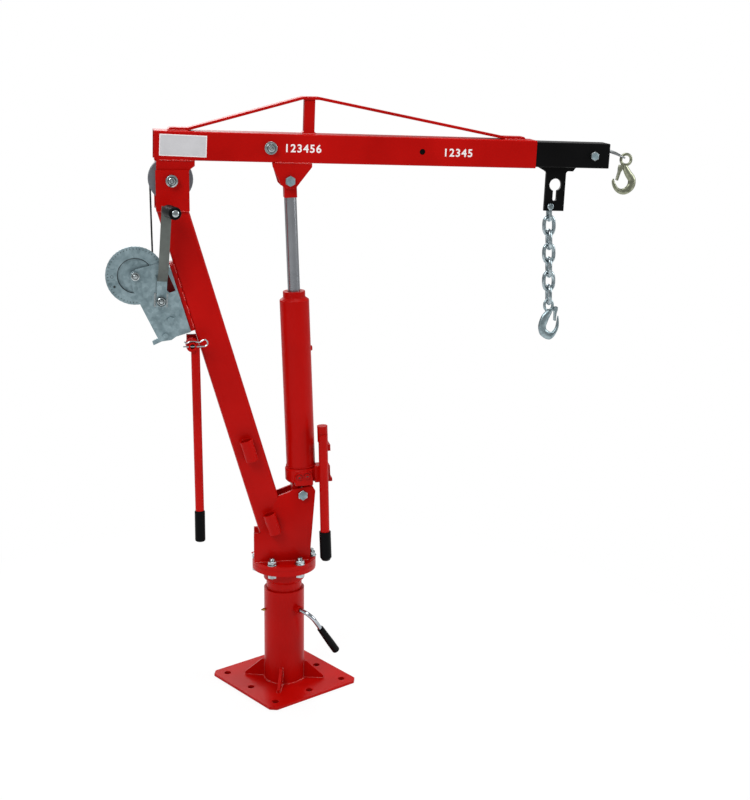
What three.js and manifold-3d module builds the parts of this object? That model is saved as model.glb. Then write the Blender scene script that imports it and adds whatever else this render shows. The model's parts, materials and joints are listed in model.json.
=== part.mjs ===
// A pickup truck crane: bolt-down base post, turning column, hydraulic boom, hand winch, chain and hooks.
// Millimetres, +Z up. The origin is on the post's axis at the underside of the base plate.
// The boom points to +X.
import * as THREE from 'three';
import { mergeVertices } from 'three/addons/utils/BufferGeometryUtils.js';
import Module from 'manifold-3d';

const wasm = await Module();
wasm.setup();

const degree = Math.PI / 180;

// Clearances shared by all pieces
const gap = 0.3;
const overrun = 3;
const weldLap = 0.2;

// Base plate and post
const basePlate = { side: 240, thick: 6, chamfer: 12, yaw: 28.6 * degree, holeInset: 27, holeRadius: 7.8 };
const post = { radius: 45.2, wall: 5, top: 226 };
const gusset = { reach: 45, height: 40, toe: 6, thick: 6 };
const lockBoss = { radius: 9, length: 11, height: 185, azimuth: -57.8 * degree };
const lockScrew = { radius: 5, reach: 45.5, armLength: 50, armDrop: 54.5 * degree, knee: 24 };
const lockGrip = { length: 82, rootRadius: 7.4, bellyRadius: 8.6, endRadius: 8.7 };
const nipple = {
  height: 176, azimuth: 190 * degree, bodyRadius: 3.4, bodyLength: 5, headRadius: 2.4, headLength: 4,
};

// Turning spindle and the two bolted flanges
const spindle = { radius: 39.7, bore: 34, collarRadius: 46, collarFoot: 244, collarBevel: 6.5 };
const flange = { radius: 71, thick: 12.2, foot: 275.5, upperThick: 10, hub: 20 };
const flangeBolts = { count: 6, circle: 61, holeRadius: 6.4, azimuth: -3.3 * degree };

// Leaning column and the plates welded to it
const mast = { size: 63, wall: 4, corner: 5, tilt: 16.3 * degree, midX: -149.6, midZ: 794 };
const heel = { left: -71, top: 366.5, thick: 6, rearShift: 7, rearDrop: 5 };
const ear = {
  thick: 6, innerTop: 451, midX: 20, midZ: 464.2, tipX: 59, tipZ: 471, noseX: 65.6, noseZ: 459.4,
  footX: 53.1, rearShift: 3, rearDrop: 6,
};
const handleTube = { radius: 14, bore: 11, length: 48, upperAlong: -241, lowerAlong: -418 };

// Boom pivot, head pulley and boom
const pivot = { x: -235, z: 1142, boltRadius: 8, headRadius: 12.5, headThick: 8 };
const headPlate = { thick: 5, rear: 32.5, front: 36, drop: 63, rise: 21, columnDrop: 57 };
const columnTop = pivot.z - headPlate.columnDrop;
const pulley = { radius: 46.3, ropeRadius: 42.4, halfWidth: 9, bore: 8.4 };
const boom = {
  size: 59, wall: 2.5, corner: 3, left: -35.2, right: 776.4, axisHeight: 70.2, droop: 1.55 * degree,
};
const boomSlot = { right: 105, width: 42 };
const lug = { thick: 6, left: -31, right: 47.5, shoulder: 30, waist: 24, footRadius: 22 };
const bracket = {
  thick: 6, left: 208, right: 291, lip: 7.5, footLeft: 234, footRight: 257.3, foot: -12, pin: 3.6,
  pinX: 245, rearTrim: 6,
};
const truss = {
  thick: 6, width: 30, left: -8.4, footEnd: 34, riseStart: 270, riseEnd: 305, fallEnd: 708, right: 757,
  peak: 175.6,
};
const strut = { x: 285.6, size: 22.5, wall: 3, flare: 5 };
const lockBolt = {
  x: 203.5, travel: 321.7, radius: 6, washerRadius: 13.5, washerThick: 3, headRadius: 9, headThick: 9,
};
const socketRadius = 4.6;

// Sliding extension with the chain hanger
const extension = { size: 53.2, wall: 3, corner: 2.6, rear: 183.5, right: 943.2, lift: 0.3 };
const roller = {
  x: 907.9, radius: 17, ropeRadius: 12.6, halfWidth: 14, bore: 5.4, boltRadius: 5, headRadius: 10,
};
const hanger = {
  thick: 8, topLeft: 788, topRight: 877.5, shoulder: 34, bevel: 7, leftBevel: 18, legLeft: 810.4,
  legRight: 855, foot: -52.6,
  keyX: 832.5, keyZ: 4.2, keyRadius: 13.5, slotHalf: 4.6, slotFoot: -31, pinX: 822.6, pinZ: -42.4,
};

// Chain, shackle and hooks
const shackle = {
  wire: 3.8, halfGap: 6.5, earThick: 5.6, earRadius: 7.2, pinRadius: 4.7, headRadius: 6, headThick: 3,
  drop: 31.5,
};
const link = { count: 6, wire: 4.2, bend: 11, straight: 17.5, lean: -2.3 * degree };
const chainHook = {
  length: 75, eyeBend: 9.4, eyeWire: 3.2, eyeStraight: 5.4, thick: 5, hingeShare: [0.215, -0.1], tipShare: [
    0.19, -0.475,
  ],
  opening: 18 * degree,
};
const ropeHook = {
  length: 76, eyeBend: 11.6, eyeWire: 3.3, thick: 5, eyeStraight: 0, hingeShare: [-0.145, -0.2], tipShare: [
    -0.253, -0.595,
  ],
  opening: -30 * degree, eyeX: 758, eyeZ: 1177.2,
};
const latch = { halfThick: 5.4, root: 8.4, tip: 3, rivet: 1.8, lugHalf: 3.5, lugRadius: 3.8 };

// Hand winch on the column's outer face
const frameBolt = { out: 73.1, along: 82.2, radius: 4, headRadius: 7.6, headThick: 5 };
const winchPad = { thick: 8.9, from: 45, to: 190 };
const winch = {
  halfWidth: 38, sheet: 3, from: 45, to: 203.5, drumOut: 114.9, drumAlong: 192.6, pinionOut: 79.7,
  pinionAlong: 129.2,
};
const drum = {
  radius: 61, rearRadius: 48, coreRadius: 37.4, front: -33, rear: 28.5, sheet: 2.5, bore: 6.4,
  axleRadius: 6, nutRadius: 9.4, nutThick: 7,
};
const gear = {
  teeth: 52, pinionTeeth: 12, width: 6, toothShare: 0.36, tipShare: 0.2, addendumShare: 0.8,
  dedendumShare: 1.1,
};
const pinion = { width: 9, shaftRadius: 6, flats: 8.5 };
const crank = {
  width: 20.6, thick: 6, outset: 7, hub: 12, kneeUp: 42, length: 191.5, endShare: 0.36, kneeOut: 26,
  lean: 4.1 * degree, twist: 8.9 * degree, nutRadius: 8.5, nutThick: 7,
};
const crankGrip = {
  radius: 13, neck: 11, length: 84, bore: 4.4, pinRadius: 4, pinHead: 7.5, pinHeadThick: 4,
};
const pawl = {
  out: 93.5, along: 54.2, thick: 4, hub: 9, leverOut: 123.6, leverAlong: 45.6, leverWidth: 9, nose: 16,
  pinRadius: 4,
};

// Steering handle that hangs on a stub beside the column
const stub = {
  x: -200.5, z: 800, radius: 8.4, bore: 5.6, front: -66, rear: -14, tabThick: 8, tabHeight: 30,
};
const steer = {
  sleeve: 12.8, front: -61, rear: -32, barRadius: 9.4, barTop: -193.5, barFoot: -190.2, barLength: 367,
  gripRadius: 11.2, gripLength: 70,
};
const clip = { wire: 1.5, left: -220, right: -169, loop: 7.2 };

// Hydraulic jack between the column's foot and the boom
const jack = { x: 37, z: 452, offset: 3.2, boltRadius: 8, headRadius: 11.5, headThick: 8 };
const ram = {
  radius: 13.2, eyeHalf: 13.2, eyeDepth: 12, eyeFoot: -37, pistonRadius: 22.5, pistonDrop: 500,
  pistonHeight: 22,
};
const barrel = {
  radius: 31.8, wall: 6, from: 59.5, capFrom: 431, capTo: 450, glandRadius: 24, plugAlong: 322,
  plugRadius: 6,
};
const collar = {
  radius: 35.8, from: 24, to: 59, bevel: 5, lugHalf: 17, lugFoot: -20, lugLeft: -23, lugRight: 20,
  slotHalf: 12.2,
};
const pump = { left: 26, right: 60.6, front: -31, rear: -1, from: 24.5, to: 62, toeOut: 4, toeHeight: 8 };
const chamber = { x: 47, y: -22, radius: 9, top: 84, bore: 5.3 };
const fulcrum = { x: 51, y: -10, along: 108, halfX: 4, halfY: 6, head: 7, pinRadius: 3.6, cheek: 4.2 };
const plunger = { radius: 5, tipRadius: 2.6, from: 70, to: 98, taper: 6 };
const pumpBar = {
  x: 43.9, y: -50, drift: 3, radius: 10.2, top: 139, foot: -84, capRadius: 11.4, capY: -45, capTop: 158,
  capFoot: 122, gripRadius: 12.9, gripFoot: -151,
};
const valve = {
  left: -19, right: 20.5, foot: 22, top: 52, round: 13, out: 3, x: 7.5, along: 43.5, screwRadius: 6, screwOut: 4,
};

// Winch rope
const rope = {
  radius: 2, turns: 7.5, pitch: 5.3, windStart: -19.5, lead: 1, ease: 1.5, settleShare: 0.92, sides: 8,
};
const ropeLoop = {
  mouthX: 711, mouthZ: 1196.5, half: 11, rearLift: 6, ferruleRadius: 5, ferruleLength: 12, seat: 6.2,
};

// Round pieces: sides by size
const sides = { large: 36, medium: 24, small: 14, tiny: 8 };

// Colours of the finishes
const finish = {
  redPaint: [0xa60d09, 0.35, 0.1], blackPaint: [0x111111, 0.45, 0.1], zinc: [0x9aa6a8, 0.4, 0.85],
  steel: [0xb4b6b8, 0.25, 1], brass: [
    0xb89a50, 0.35, 0.9,
  ], rubber: [0x141414, 0.75, 0], wire: [0x4a4a4a, 0.5, 0.8],
  olive: [0x9a9a70, 0.4, 0.8],
};

// Solids: a closed geometry to a solid and back
function solid(geometry) {
  const clean = geometry.clone();
  clean.deleteAttribute('normal');
  clean.deleteAttribute('uv');
  const merged = mergeVertices(clean, gap * gap * gap * gap);
  const vertProperties = Float32Array.from(merged.attributes.position.array);
  const triVerts = Uint32Array.from(merged.index.array);
  return new wasm.Manifold(new wasm.Mesh({ numProp: 3, vertProperties, triVerts }));
}

function surface(body) {
  const raw = body.getMesh();
  const geometry = new THREE.BufferGeometry();
  geometry.setAttribute('position', new THREE.BufferAttribute(new Float32Array(raw.vertProperties), 3));
  geometry.setIndex(new THREE.BufferAttribute(new Uint32Array(raw.triVerts), 1));
  geometry.computeVertexNormals();
  return geometry;
}

function join(...parts) {
  return parts.reduce((whole, part) => whole.add(part));
}

function cut(body, ...tools) {
  return tools.reduce((rest, tool) => rest.subtract(tool), body);
}

// Blocks, round bars and plates
function block(x0, x1, y0, y1, z0, z1) {
  const geometry = new THREE.BoxGeometry(x1 - x0, y1 - y0, z1 - z0);
  geometry.translate((x0 + x1) / 2, (y0 + y1) / 2, (z0 + z1) / 2);
  return solid(geometry);
}

function bar(start, end, radius, count = sides.small, endRadius = radius) {
  const from = new THREE.Vector3(...start);
  const to = new THREE.Vector3(...end);
  const geometry = new THREE.CylinderGeometry(endRadius, radius, from.distanceTo(to), count);
  const up = new THREE.Vector3(0, 1, 0);
  const turn = new THREE.Quaternion().setFromUnitVectors(up, to.clone().sub(from).normalize());
  geometry.applyQuaternion(turn);
  geometry.translate((from.x + to.x) / 2, (from.y + to.y) / 2, (from.z + to.z) / 2);
  return solid(geometry);
}

function pin(x, z, y0, y1, radius, count = sides.small) {
  return bar([x, y0, z], [x, y1, z], radius, count);
}

function lathe(profile, count = sides.large) {
  const points = profile.map(([r, z]) => new THREE.Vector2(r, z));
  const geometry = new THREE.LatheGeometry(points, count);
  geometry.rotateX(Math.PI / 2);
  return solid(geometry);
}

// An outline in the XZ plane made into a plate between two Y places
function plate(outline, y0, y1) {
  const shape = Array.isArray(outline) ? new THREE.Shape(
    outline.map(([x, z]) => new THREE.Vector2(x, z))
  ) : outline;
  const geometry = new THREE.ExtrudeGeometry(
    shape, { depth: y1 - y0, bevelEnabled: false, curveSegments: 6 },
  );
  geometry.rotateX(Math.PI / 2);
  geometry.translate(0, y1, 0);
  return solid(geometry);
}

function roundedSquare(half, corner) {
  const shape = new THREE.Shape();
  shape.moveTo(-half + corner, -half);
  shape.lineTo(half - corner, -half);
  shape.absarc(half - corner, -half + corner, corner, -Math.PI / 2, 0);
  shape.lineTo(half, half - corner);
  shape.absarc(half - corner, half - corner, corner, 0, Math.PI / 2);
  shape.lineTo(-half + corner, half);
  shape.absarc(-half + corner, half - corner, corner, Math.PI / 2, Math.PI);
  shape.lineTo(-half, -half + corner);
  shape.absarc(-half + corner, -half + corner, corner, Math.PI, Math.PI * 1.5);
  return shape;
}

// A square tube along Z from z0 to z1
function squareTube(size, wall, corner, z0, z1) {
  const settings = { depth: z1 - z0, bevelEnabled: false, curveSegments: 2 };
  const outer = new THREE.ExtrudeGeometry(roundedSquare(size / 2, corner), settings);
  const innerCorner = Math.max(corner - wall, wall / 2);
  settings.depth = z1 - z0 + 2 * overrun;
  const inner = new THREE.ExtrudeGeometry(roundedSquare(size / 2 - wall, innerCorner), settings);
  outer.translate(0, 0, z0);
  inner.translate(0, 0, z0 - overrun);
  return cut(solid(outer), solid(inner));
}

// A bar swept along points that lie across the given direction, round or oval, open or closed on itself
function sweep(points, across, size, { closed = false, count = 8, turn = 0.5 } = {}) {
  const side = new THREE.Vector3(...across).normalize();
  const total = points.length;
  const place = [];
  points.forEach((point, i) => {
    const before = points[closed ? (i + total - 1) % total : Math.max(i - 1, 0)];
    const after = points[closed ? (i + 1) % total : Math.min(i + 1, total - 1)];
    const along = after.clone().sub(before).normalize();
    const out = new THREE.Vector3().crossVectors(along, side).normalize();
    const [wide, thick] = size(i);
    for (let k = 0; k < count; k += 1) {
      const angle = (2 * Math.PI * (k + turn)) / count;
      const corner = point.clone();
      corner.addScaledVector(out, wide * Math.cos(angle));
      corner.addScaledVector(side, thick * Math.sin(angle));
      place.push(corner.x, corner.y, corner.z);
    }
  });
  const index = [];
  const rings = closed ? total : total - 1;
  for (let i = 0; i < rings; i += 1) {
    const here = i * count;
    const next = ((i + 1) % total) * count;
    for (let k = 0; k < count; k += 1) {
      const m = (k + 1) % count;
      index.push(here + k, next + k, here + m, here + m, next + k, next + m);
    }
  }
  if (!closed) {
    const last = (total - 1) * count;
    for (let k = 1; k < count - 1; k += 1) {
      index.push(0, k, k + 1);
      index.push(last, last + k + 1, last + k);
    }
  }
  const geometry = new THREE.BufferGeometry();
  geometry.setAttribute('position', new THREE.BufferAttribute(new Float32Array(place), 3));
  geometry.setIndex(index);
  const body = solid(geometry);
  if (body.volume() > 0) return body;
  geometry.setIndex(index.map((v, i) => index[i - (i % 3) + [0, 2, 1][i % 3]]));
  return solid(geometry);
}

// A rope through the given places, its cross-section square to the route
function strand(route, across = [0, 1, 0]) {
  const points = route.map((p) => new THREE.Vector3(...p));
  return sweep(points, across, () => [rope.radius, rope.radius], { count: rope.sides });
}

function smoothRoute(route, steps) {
  const curve = new THREE.CatmullRomCurve3(route.map((p) => new THREE.Vector3(...p)), false, 'centripetal');
  return curve.getPoints(steps).map((p) => p.toArray());
}

function arcPoints(x, z, radius, from, to, steps, y = 0) {
  return Array.from({ length: steps + 1 }, (_, i) => {
    const angle = from + ((to - from) * i) / steps;
    return [x + radius * Math.cos(angle), y, z + radius * Math.sin(angle)];
  });
}

// A hexagon-headed or socket-headed bolt along Y with its nut, heads outside the given faces
function bolt(x, z, front, rear, radius, headRadius, headThick, washer = 0) {
  const shank = pin(x, z, front - headThick / 2, rear + headThick / 2, radius);
  const head = pin(x, z, front - headThick - washer - gap, front - gap, headRadius, 6);
  const nut = pin(x, z, rear + gap, rear + headThick + gap, headRadius, 6);
  return join(shank, head, nut);
}

const crane = new THREE.Group();
const mastFrame = new THREE.Group();
mastFrame.position.set(mast.midX, 0, mast.midZ);
mastFrame.rotation.y = -mast.tilt;
const boomFrame = new THREE.Group();
boomFrame.position.set(pivot.x, 0, pivot.z);
boomFrame.rotation.y = boom.droop;
crane.add(mastFrame, boomFrame);

// The jack stands along the line from its foot bolt to its head bolt on the boom, its axis a little beside
// them
boomFrame.updateMatrixWorld(true);
const jackHead = boomFrame.localToWorld(new THREE.Vector3(bracket.pinX, 0, bracket.pin));
const jackRise = new THREE.Vector3(jackHead.x - jack.x, 0, jackHead.z - jack.z);
const jackFrame = new THREE.Group();
jackFrame.position.set(jack.x, 0, jack.z);
jackFrame.rotation.y = Math.atan2(jackRise.x, jackRise.z);
jackFrame.translateX(jack.offset);
const jackLength = jackRise.length();
const hangPoint = boomFrame.localToWorld(new THREE.Vector3(hanger.pinX, 0, hanger.pinZ));
const chainFrame = new THREE.Group();
chainFrame.position.copy(hangPoint);
chainFrame.rotation.y = link.lean;
crane.add(jackFrame, chainFrame);

function add(frame, name, body, [color, roughness, metalness]) {
  const mesh = new THREE.Mesh(
    surface(body), new THREE.MeshStandardMaterial({ color, roughness, metalness }),
  );
  mesh.name = name;
  frame.add(mesh);
}

// Base plate with chamfered corners and eight bolt holes
function makeBasePlate() {
  const half = basePlate.side / 2;
  const trim = half - basePlate.chamfer;
  const outline = [
    [trim, -half], [half, -trim], [half, trim], [trim, half], [-trim, half], [-half, trim], [-half, -trim],
    [-trim, -half],
  ];
  const shape = new THREE.Shape(outline.map(([x, y]) => new THREE.Vector2(x, y)));
  for (const column of [-1, 0, 1]) {
    for (const row of [-1, 0, 1]) {
      if (column === 0 && row === 0) continue;
      const hole = new THREE.Path();
      const pitch = half - basePlate.holeInset;
      hole.absarc(column * pitch, row * pitch, basePlate.holeRadius, 0, 2 * Math.PI, true);
      shape.holes.push(hole);
    }
  }
  const depth = basePlate.thick;
  const geometry = new THREE.ExtrudeGeometry(shape, { depth, bevelEnabled: false, curveSegments: 8 });
  geometry.rotateZ(basePlate.yaw);
  return solid(geometry);
}

// Post tube with four gussets and the threaded boss of the lock screw
function makePost() {
  const foot = basePlate.thick + gap;
  const inner = post.radius - post.wall;
  const tube = lathe(
    [[inner, foot], [post.radius, foot], [post.radius, post.top], [inner, post.top], [inner, foot]]
  );
  const root = post.radius - post.wall / 2;
  const fin = [
    [root, foot], [post.radius + gusset.reach, foot], [post.radius + gusset.reach, foot + gusset.toe],
    [post.radius + gusset.toe, foot + gusset.height], [root, foot + gusset.height],
  ];
  const fins = [0, 1, 2, 3].map((i) => {
    const turn = (basePlate.yaw + Math.PI / 4 + (i * Math.PI) / 2) / degree;
    return plate(fin, -gusset.thick / 2, gusset.thick / 2).rotate([0, 0, turn]);
  });
  const outward = [Math.cos(lockBoss.azimuth), Math.sin(lockBoss.azimuth)];
  const at = (radius) => [outward[0] * radius, outward[1] * radius, lockBoss.height];
  const boss = bar(at(root), at(post.radius + lockBoss.length), lockBoss.radius, sides.small);
  const hole = bar(at(0), at(post.radius + lockBoss.length + overrun), lockScrew.radius + gap, sides.small);
  return cut(join(tube, boss, ...fins), hole);
}

// Lock screw: threaded through the boss, bent down into an arm with a tapered grip
function lockScrewRoute() {
  const out = new THREE.Vector3(Math.cos(lockBoss.azimuth), Math.sin(lockBoss.azimuth), 0);
  const sideways = new THREE.Vector3(-out.y, out.x, 0);
  const arm = sideways.clone().multiplyScalar(Math.cos(lockScrew.armDrop));
  arm.z = -Math.sin(lockScrew.armDrop);
  const start = out.clone().multiplyScalar(spindle.radius + gap);
  start.z = lockBoss.height;
  const bend = out.clone().multiplyScalar(post.radius + lockScrew.reach);
  bend.z = lockBoss.height;
  const across = new THREE.Vector3().crossVectors(out, arm);
  return { out, arm, start, bend, across };
}

function makeLockScrew() {
  const { out, arm, start, bend, across } = lockScrewRoute();
  const points = [start];
  for (let i = 0; i <= 6; i += 1) {
    const angle = (i * Math.PI) / 12;
    const point = bend.clone().addScaledVector(out, lockScrew.knee * (Math.sin(angle) - 1));
    points.push(point.addScaledVector(arm, lockScrew.knee * (1 - Math.cos(angle))));
  }
  points.push(bend.clone().addScaledVector(arm, lockScrew.armLength));
  return sweep(points, across.toArray(), () => [lockScrew.radius, lockScrew.radius], { count: 12 });
}

function makeLockGrip() {
  const { arm, bend } = lockScrewRoute();
  const from = lockScrew.armLength + gap;
  const at = (distance) => bend.clone().addScaledVector(arm, from + distance).toArray();
  const belly = lockGrip.length * 0.65;
  return join(
    bar(at(0), at(belly), lockGrip.rootRadius, sides.small, lockGrip.bellyRadius),
    bar(at(belly - weldLap), at(lockGrip.length), lockGrip.bellyRadius, sides.small, lockGrip.endRadius),
  );
}

function makeNipple() {
  const out = [Math.cos(nipple.azimuth), Math.sin(nipple.azimuth)];
  const at = (r) => [out[0] * r, out[1] * r, nipple.height];
  const seat = post.radius + gap;
  const shoulder = seat + nipple.bodyLength;
  return join(
    bar(at(seat), at(shoulder), nipple.bodyRadius, 6),
    bar(
      at(shoulder - weldLap), at(shoulder + nipple.headLength), nipple.headRadius, sides.tiny,
      nipple.headRadius / 2,
    ),
  );
}

// Spindle, collar and lower flange turned as one piece
function makeSpindle() {
  const foot = basePlate.thick + gap;
  const top = flange.foot + flange.thick;
  const body = lathe([
    [spindle.bore, foot], [spindle.radius, foot], [spindle.radius, spindle.collarFoot],
    [spindle.collarRadius, spindle.collarFoot + spindle.collarBevel], [spindle.collarRadius, flange.foot],
    [flange.radius, flange.foot], [flange.radius, top], [spindle.bore, top], [spindle.bore, foot],
  ]);
  return cut(body, ...flangeHoles());
}

function flangeHoles() {
  return Array.from({ length: flangeBolts.count }, (_, i) => {
    const angle = flangeBolts.azimuth + (i * 2 * Math.PI) / flangeBolts.count;
    const x = flangeBolts.circle * Math.cos(angle);
    const y = flangeBolts.circle * Math.sin(angle);
    return bar(
      [x, y, flange.foot - overrun], [x, y, upperFlangeTop() + overrun], flangeBolts.holeRadius, 12,
    );
  });
}

function upperFlangeTop() {
  return flange.foot + flange.thick + gap + flange.upperThick;
}

function makeUpperFlange() {
  const foot = flange.foot + flange.thick + gap;
  const top = upperFlangeTop();
  const disc = lathe(
    [[flange.hub, foot], [flange.radius, foot], [flange.radius, top], [flange.hub, top], [flange.hub, foot]]
  );
  return cut(disc, ...flangeHoles());
}

// Column edge at a height: -1 is the outer left edge, 1 the edge towards the jack
function mastEdge(z, hand) {
  const centre = mast.midX - (z - mast.midZ) * Math.tan(mast.tilt);
  return centre + (hand * mast.size) / 2 / Math.cos(mast.tilt);
}

// Column tube cut level at both ends, with the head plates and heel plates welded to it
function makeMast() {
  const foot = upperFlangeTop() + gap;
  const reach = (mast.midZ - foot) / Math.cos(mast.tilt) + mast.size;
  const rise = (columnTop - mast.midZ) / Math.cos(mast.tilt) + mast.size;
  const tube = join(squareTube(mast.size, mast.wall, mast.corner, -reach, rise), makeWinchPad());
  const placed = tube.rotate([0, -mast.tilt / degree, 0]).translate([mast.midX, 0, mast.midZ]);
  const wide = mast.size * 20;
  const trimmed = placed.intersect(block(-wide, wide, -wide, wide, foot, columnTop));
  const half = mast.size / 2 - weldLap;
  const outline = [
    [pivot.x - headPlate.rear, pivot.z - headPlate.drop], [
      pivot.x + headPlate.front, pivot.z - headPlate.drop,
    ],
    [
      pivot.x + headPlate.front, pivot.z + headPlate.rise,
    ], [pivot.x - headPlate.rear, pivot.z + headPlate.rise],
  ];
  const hole = pin(pivot.x, pivot.z, -wide, wide, pivot.boltRadius + gap);
  const heelOutline = (shift, drop) => [
    [heel.left + shift, foot], [mastEdge(foot, -1) + mast.wall / 2, foot],
    [mastEdge(heel.top - drop, -1) + mast.wall / 2, heel.top - drop], [heel.left + shift, heel.top - drop],
  ];
  const sidePlates = [-1, 1].flatMap((hand) => {
    const inner = hand > 0 ? half : -half - headPlate.thick;
    const heelInner = hand > 0 ? half - heel.thick : -half;
    const heelPlate = hand > 0 ? heelOutline(heel.rearShift, heel.rearDrop) : heelOutline(0, 0);
    return [
      plate(outline, inner, inner + headPlate.thick), plate(heelPlate, heelInner, heelInner + heel.thick),
    ];
  });
  return cut(join(trimmed, ...sidePlates), hole);
}

// Jack ears beside the column's foot
function makeEar(hand) {
  const foot = upperFlangeTop() + gap;
  const shift = hand > 0 ? ear.rearShift : 0;
  const drop = hand > 0 ? ear.rearDrop : 0;
  const inner0 = ear.innerTop - drop;
  const outline = [
    [mastEdge(foot, 1) + 2 * gap, foot], [ear.footX + shift, foot], [ear.noseX + shift, ear.noseZ - drop],
    [ear.tipX + shift, ear.tipZ - drop], [ear.midX + shift, ear.midZ - drop], [
      mastEdge(inner0, 1) + 2 * gap, inner0,
    ],
  ];
  const outer = (hand * mast.size) / 2;
  const inner = outer - hand * ear.thick;
  const cheek = plate(outline, Math.min(inner, outer), Math.max(inner, outer));
  return cut(cheek, pin(jack.x, jack.z, -mast.size, mast.size, jack.boltRadius + gap));
}

function makeHandleTube(along) {
  const y = -mast.size / 2 - handleTube.radius - gap;
  const from = along - handleTube.length / 2;
  const to = along + handleTube.length / 2;
  const outer = bar([0, y, from], [0, y, to], handleTube.radius, sides.medium);
  return cut(outer, bar([0, y, from - overrun], [0, y, to + overrun], handleTube.bore, sides.medium));
}

// Winch: pad, folded frame, drum, gear, pinion, crank and pawl, in the column's frame
const padOuter = -(mast.size / 2 + winchPad.thick);
const frameBack = padOuter - gap;

function makeWinchPad() {
  const half = mast.size / 2;
  return block(padOuter, padOuter + winchPad.thick + weldLap, -half, half, winchPad.from, winchPad.to);
}

function winchCheek(y0, y1) {
  const nose = winch.drumOut + drum.nutRadius * 1.4;
  const shape = new THREE.Shape();
  shape.moveTo(frameBack, winch.from);
  shape.lineTo(frameBack, winch.to - drum.radius / 4);
  shape.lineTo(frameBack - winch.sheet * 7, winch.to);
  shape.lineTo(-winch.drumOut + drum.nutRadius / 2, winch.to + drum.nutRadius / 4);
  shape.absarc(-winch.drumOut, winch.drumAlong, drum.nutRadius * 1.2, Math.PI / 2, Math.PI * 1.05);
  shape.lineTo(-nose, winch.drumAlong - drum.radius / 2);
  shape.lineTo(-(pawl.out + pawl.hub * 2), pawl.along + pawl.hub / 2);
  shape.lineTo(-(pawl.out + pawl.hub * 1.7), winch.from);
  shape.lineTo(-(pawl.out - pawl.hub), winch.from - pawl.thick);
  shape.lineTo(frameBack - pawl.hub * 3.6, winch.from);
  return plate(shape, y0, y1);
}

function makeWinchFrame() {
  const w = winch.halfWidth;
  const back = block(frameBack - winch.sheet, frameBack, -w, w, winch.from, winch.to - drum.radius / 4);
  const cheeks = [winchCheek(-w, -w + winch.sheet), winchCheek(w - winch.sheet, w)];
  const windowOutline = [
    [
      frameBack - winch.sheet * 1.3, winch.pinionAlong + pinion.width,
    ], [frameBack - winch.sheet * 6, winch.pinionAlong + pinion.width],
    [
      frameBack - winch.sheet * 11, winch.drumAlong - drum.nutRadius * 2.4,
    ], [frameBack - winch.sheet * 11.6, winch.drumAlong - drum.nutRadius],
    [frameBack - winch.sheet * 3, winch.drumAlong - drum.nutRadius],
  ];
  const windowTool = plate(windowOutline, -w - overrun, w + overrun);
  const holes = [
    pin(-winch.drumOut, winch.drumAlong, -w - overrun, w + overrun, drum.axleRadius + gap),
    pin(-winch.pinionOut, winch.pinionAlong, -w - overrun, w + overrun, pinion.shaftRadius + gap),
    pin(-pawl.out, pawl.along, -w - overrun, -w + winch.sheet + overrun, pawl.pinRadius + gap),
  ];
  const stay = bolt(
    -frameBolt.out, frameBolt.along, -w, w, frameBolt.radius, frameBolt.headRadius, frameBolt.headThick,
  );
  return join(cut(join(back, ...cheeks), windowTool, ...holes), stay);
}

function makeDrumAxle() {
  const w = winch.halfWidth;
  return bolt(-winch.drumOut, winch.drumAlong, -w, w, drum.axleRadius, drum.nutRadius, drum.nutThick);
}

function disc(y0, y1, radius, x, z, count) {
  return pin(x, z, y0, y1, radius, count);
}

function makeDrum() {
  const x = -winch.drumOut;
  const z = winch.drumAlong;
  const gearBack = drum.front + drum.sheet + gear.width;
  const core = disc(gearBack + gap, drum.rear, drum.coreRadius, x, z, sides.medium);
  const flangeDisc = disc(drum.rear - drum.sheet, drum.rear, drum.rearRadius, x, z, sides.large);
  return cut(
    join(core, flangeDisc), disc(gearBack - overrun, drum.rear + overrun, drum.bore, x, z, sides.small),
  );
}

// Straight-flanked gear outline: four points a tooth
function toothedOutline(teeth, pitchRadius, turn, x, z) {
  const module = (2 * pitchRadius) / teeth;
  const tip = pitchRadius + gear.addendumShare * module;
  const root = pitchRadius - gear.dedendumShare * module;
  const step = (2 * Math.PI) / teeth;
  const points = [];
  for (let i = 0; i < teeth; i += 1) {
    const middle = turn + i * step;
    const corners = [
      [root, -gear.toothShare * 0.75], [tip, -gear.tipShare / 2], [tip, gear.tipShare / 2],
      [root, gear.toothShare * 0.75],
    ];
    for (const [radius, share] of corners) {
      points.push([x + radius * Math.cos(middle + share * step), z + radius * Math.sin(middle + share * step)]);
    }
  }
  return points;
}

const gearSpan = Math.hypot(winch.drumOut - winch.pinionOut, winch.drumAlong - winch.pinionAlong);
const gearPitchRadius = (gearSpan * gear.teeth) / (gear.teeth + gear.pinionTeeth);
const pinionPitchRadius = gearSpan - gearPitchRadius;
const gearLine = Math.atan2(winch.pinionAlong - winch.drumAlong, winch.drumOut - winch.pinionOut);

function makeGear() {
  const x = -winch.drumOut;
  const z = winch.drumAlong;
  const front = drum.front;
  const outline = toothedOutline(gear.teeth, gearPitchRadius, gearLine, x, z);
  const wheel = plate(outline, front + drum.sheet - weldLap, front + drum.sheet + gear.width);
  const cover = disc(front, front + drum.sheet, drum.radius, x, z, sides.large);
  const dish = disc(
    front - overrun, front + drum.sheet + gear.width / 3, drum.radius * 0.59, x, z, sides.large,
  );
  const bore = disc(
    front - overrun, front + drum.sheet + gear.width + overrun, drum.bore, x, z, sides.small,
  );
  return cut(join(wheel, cover), dish, bore);
}

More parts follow.
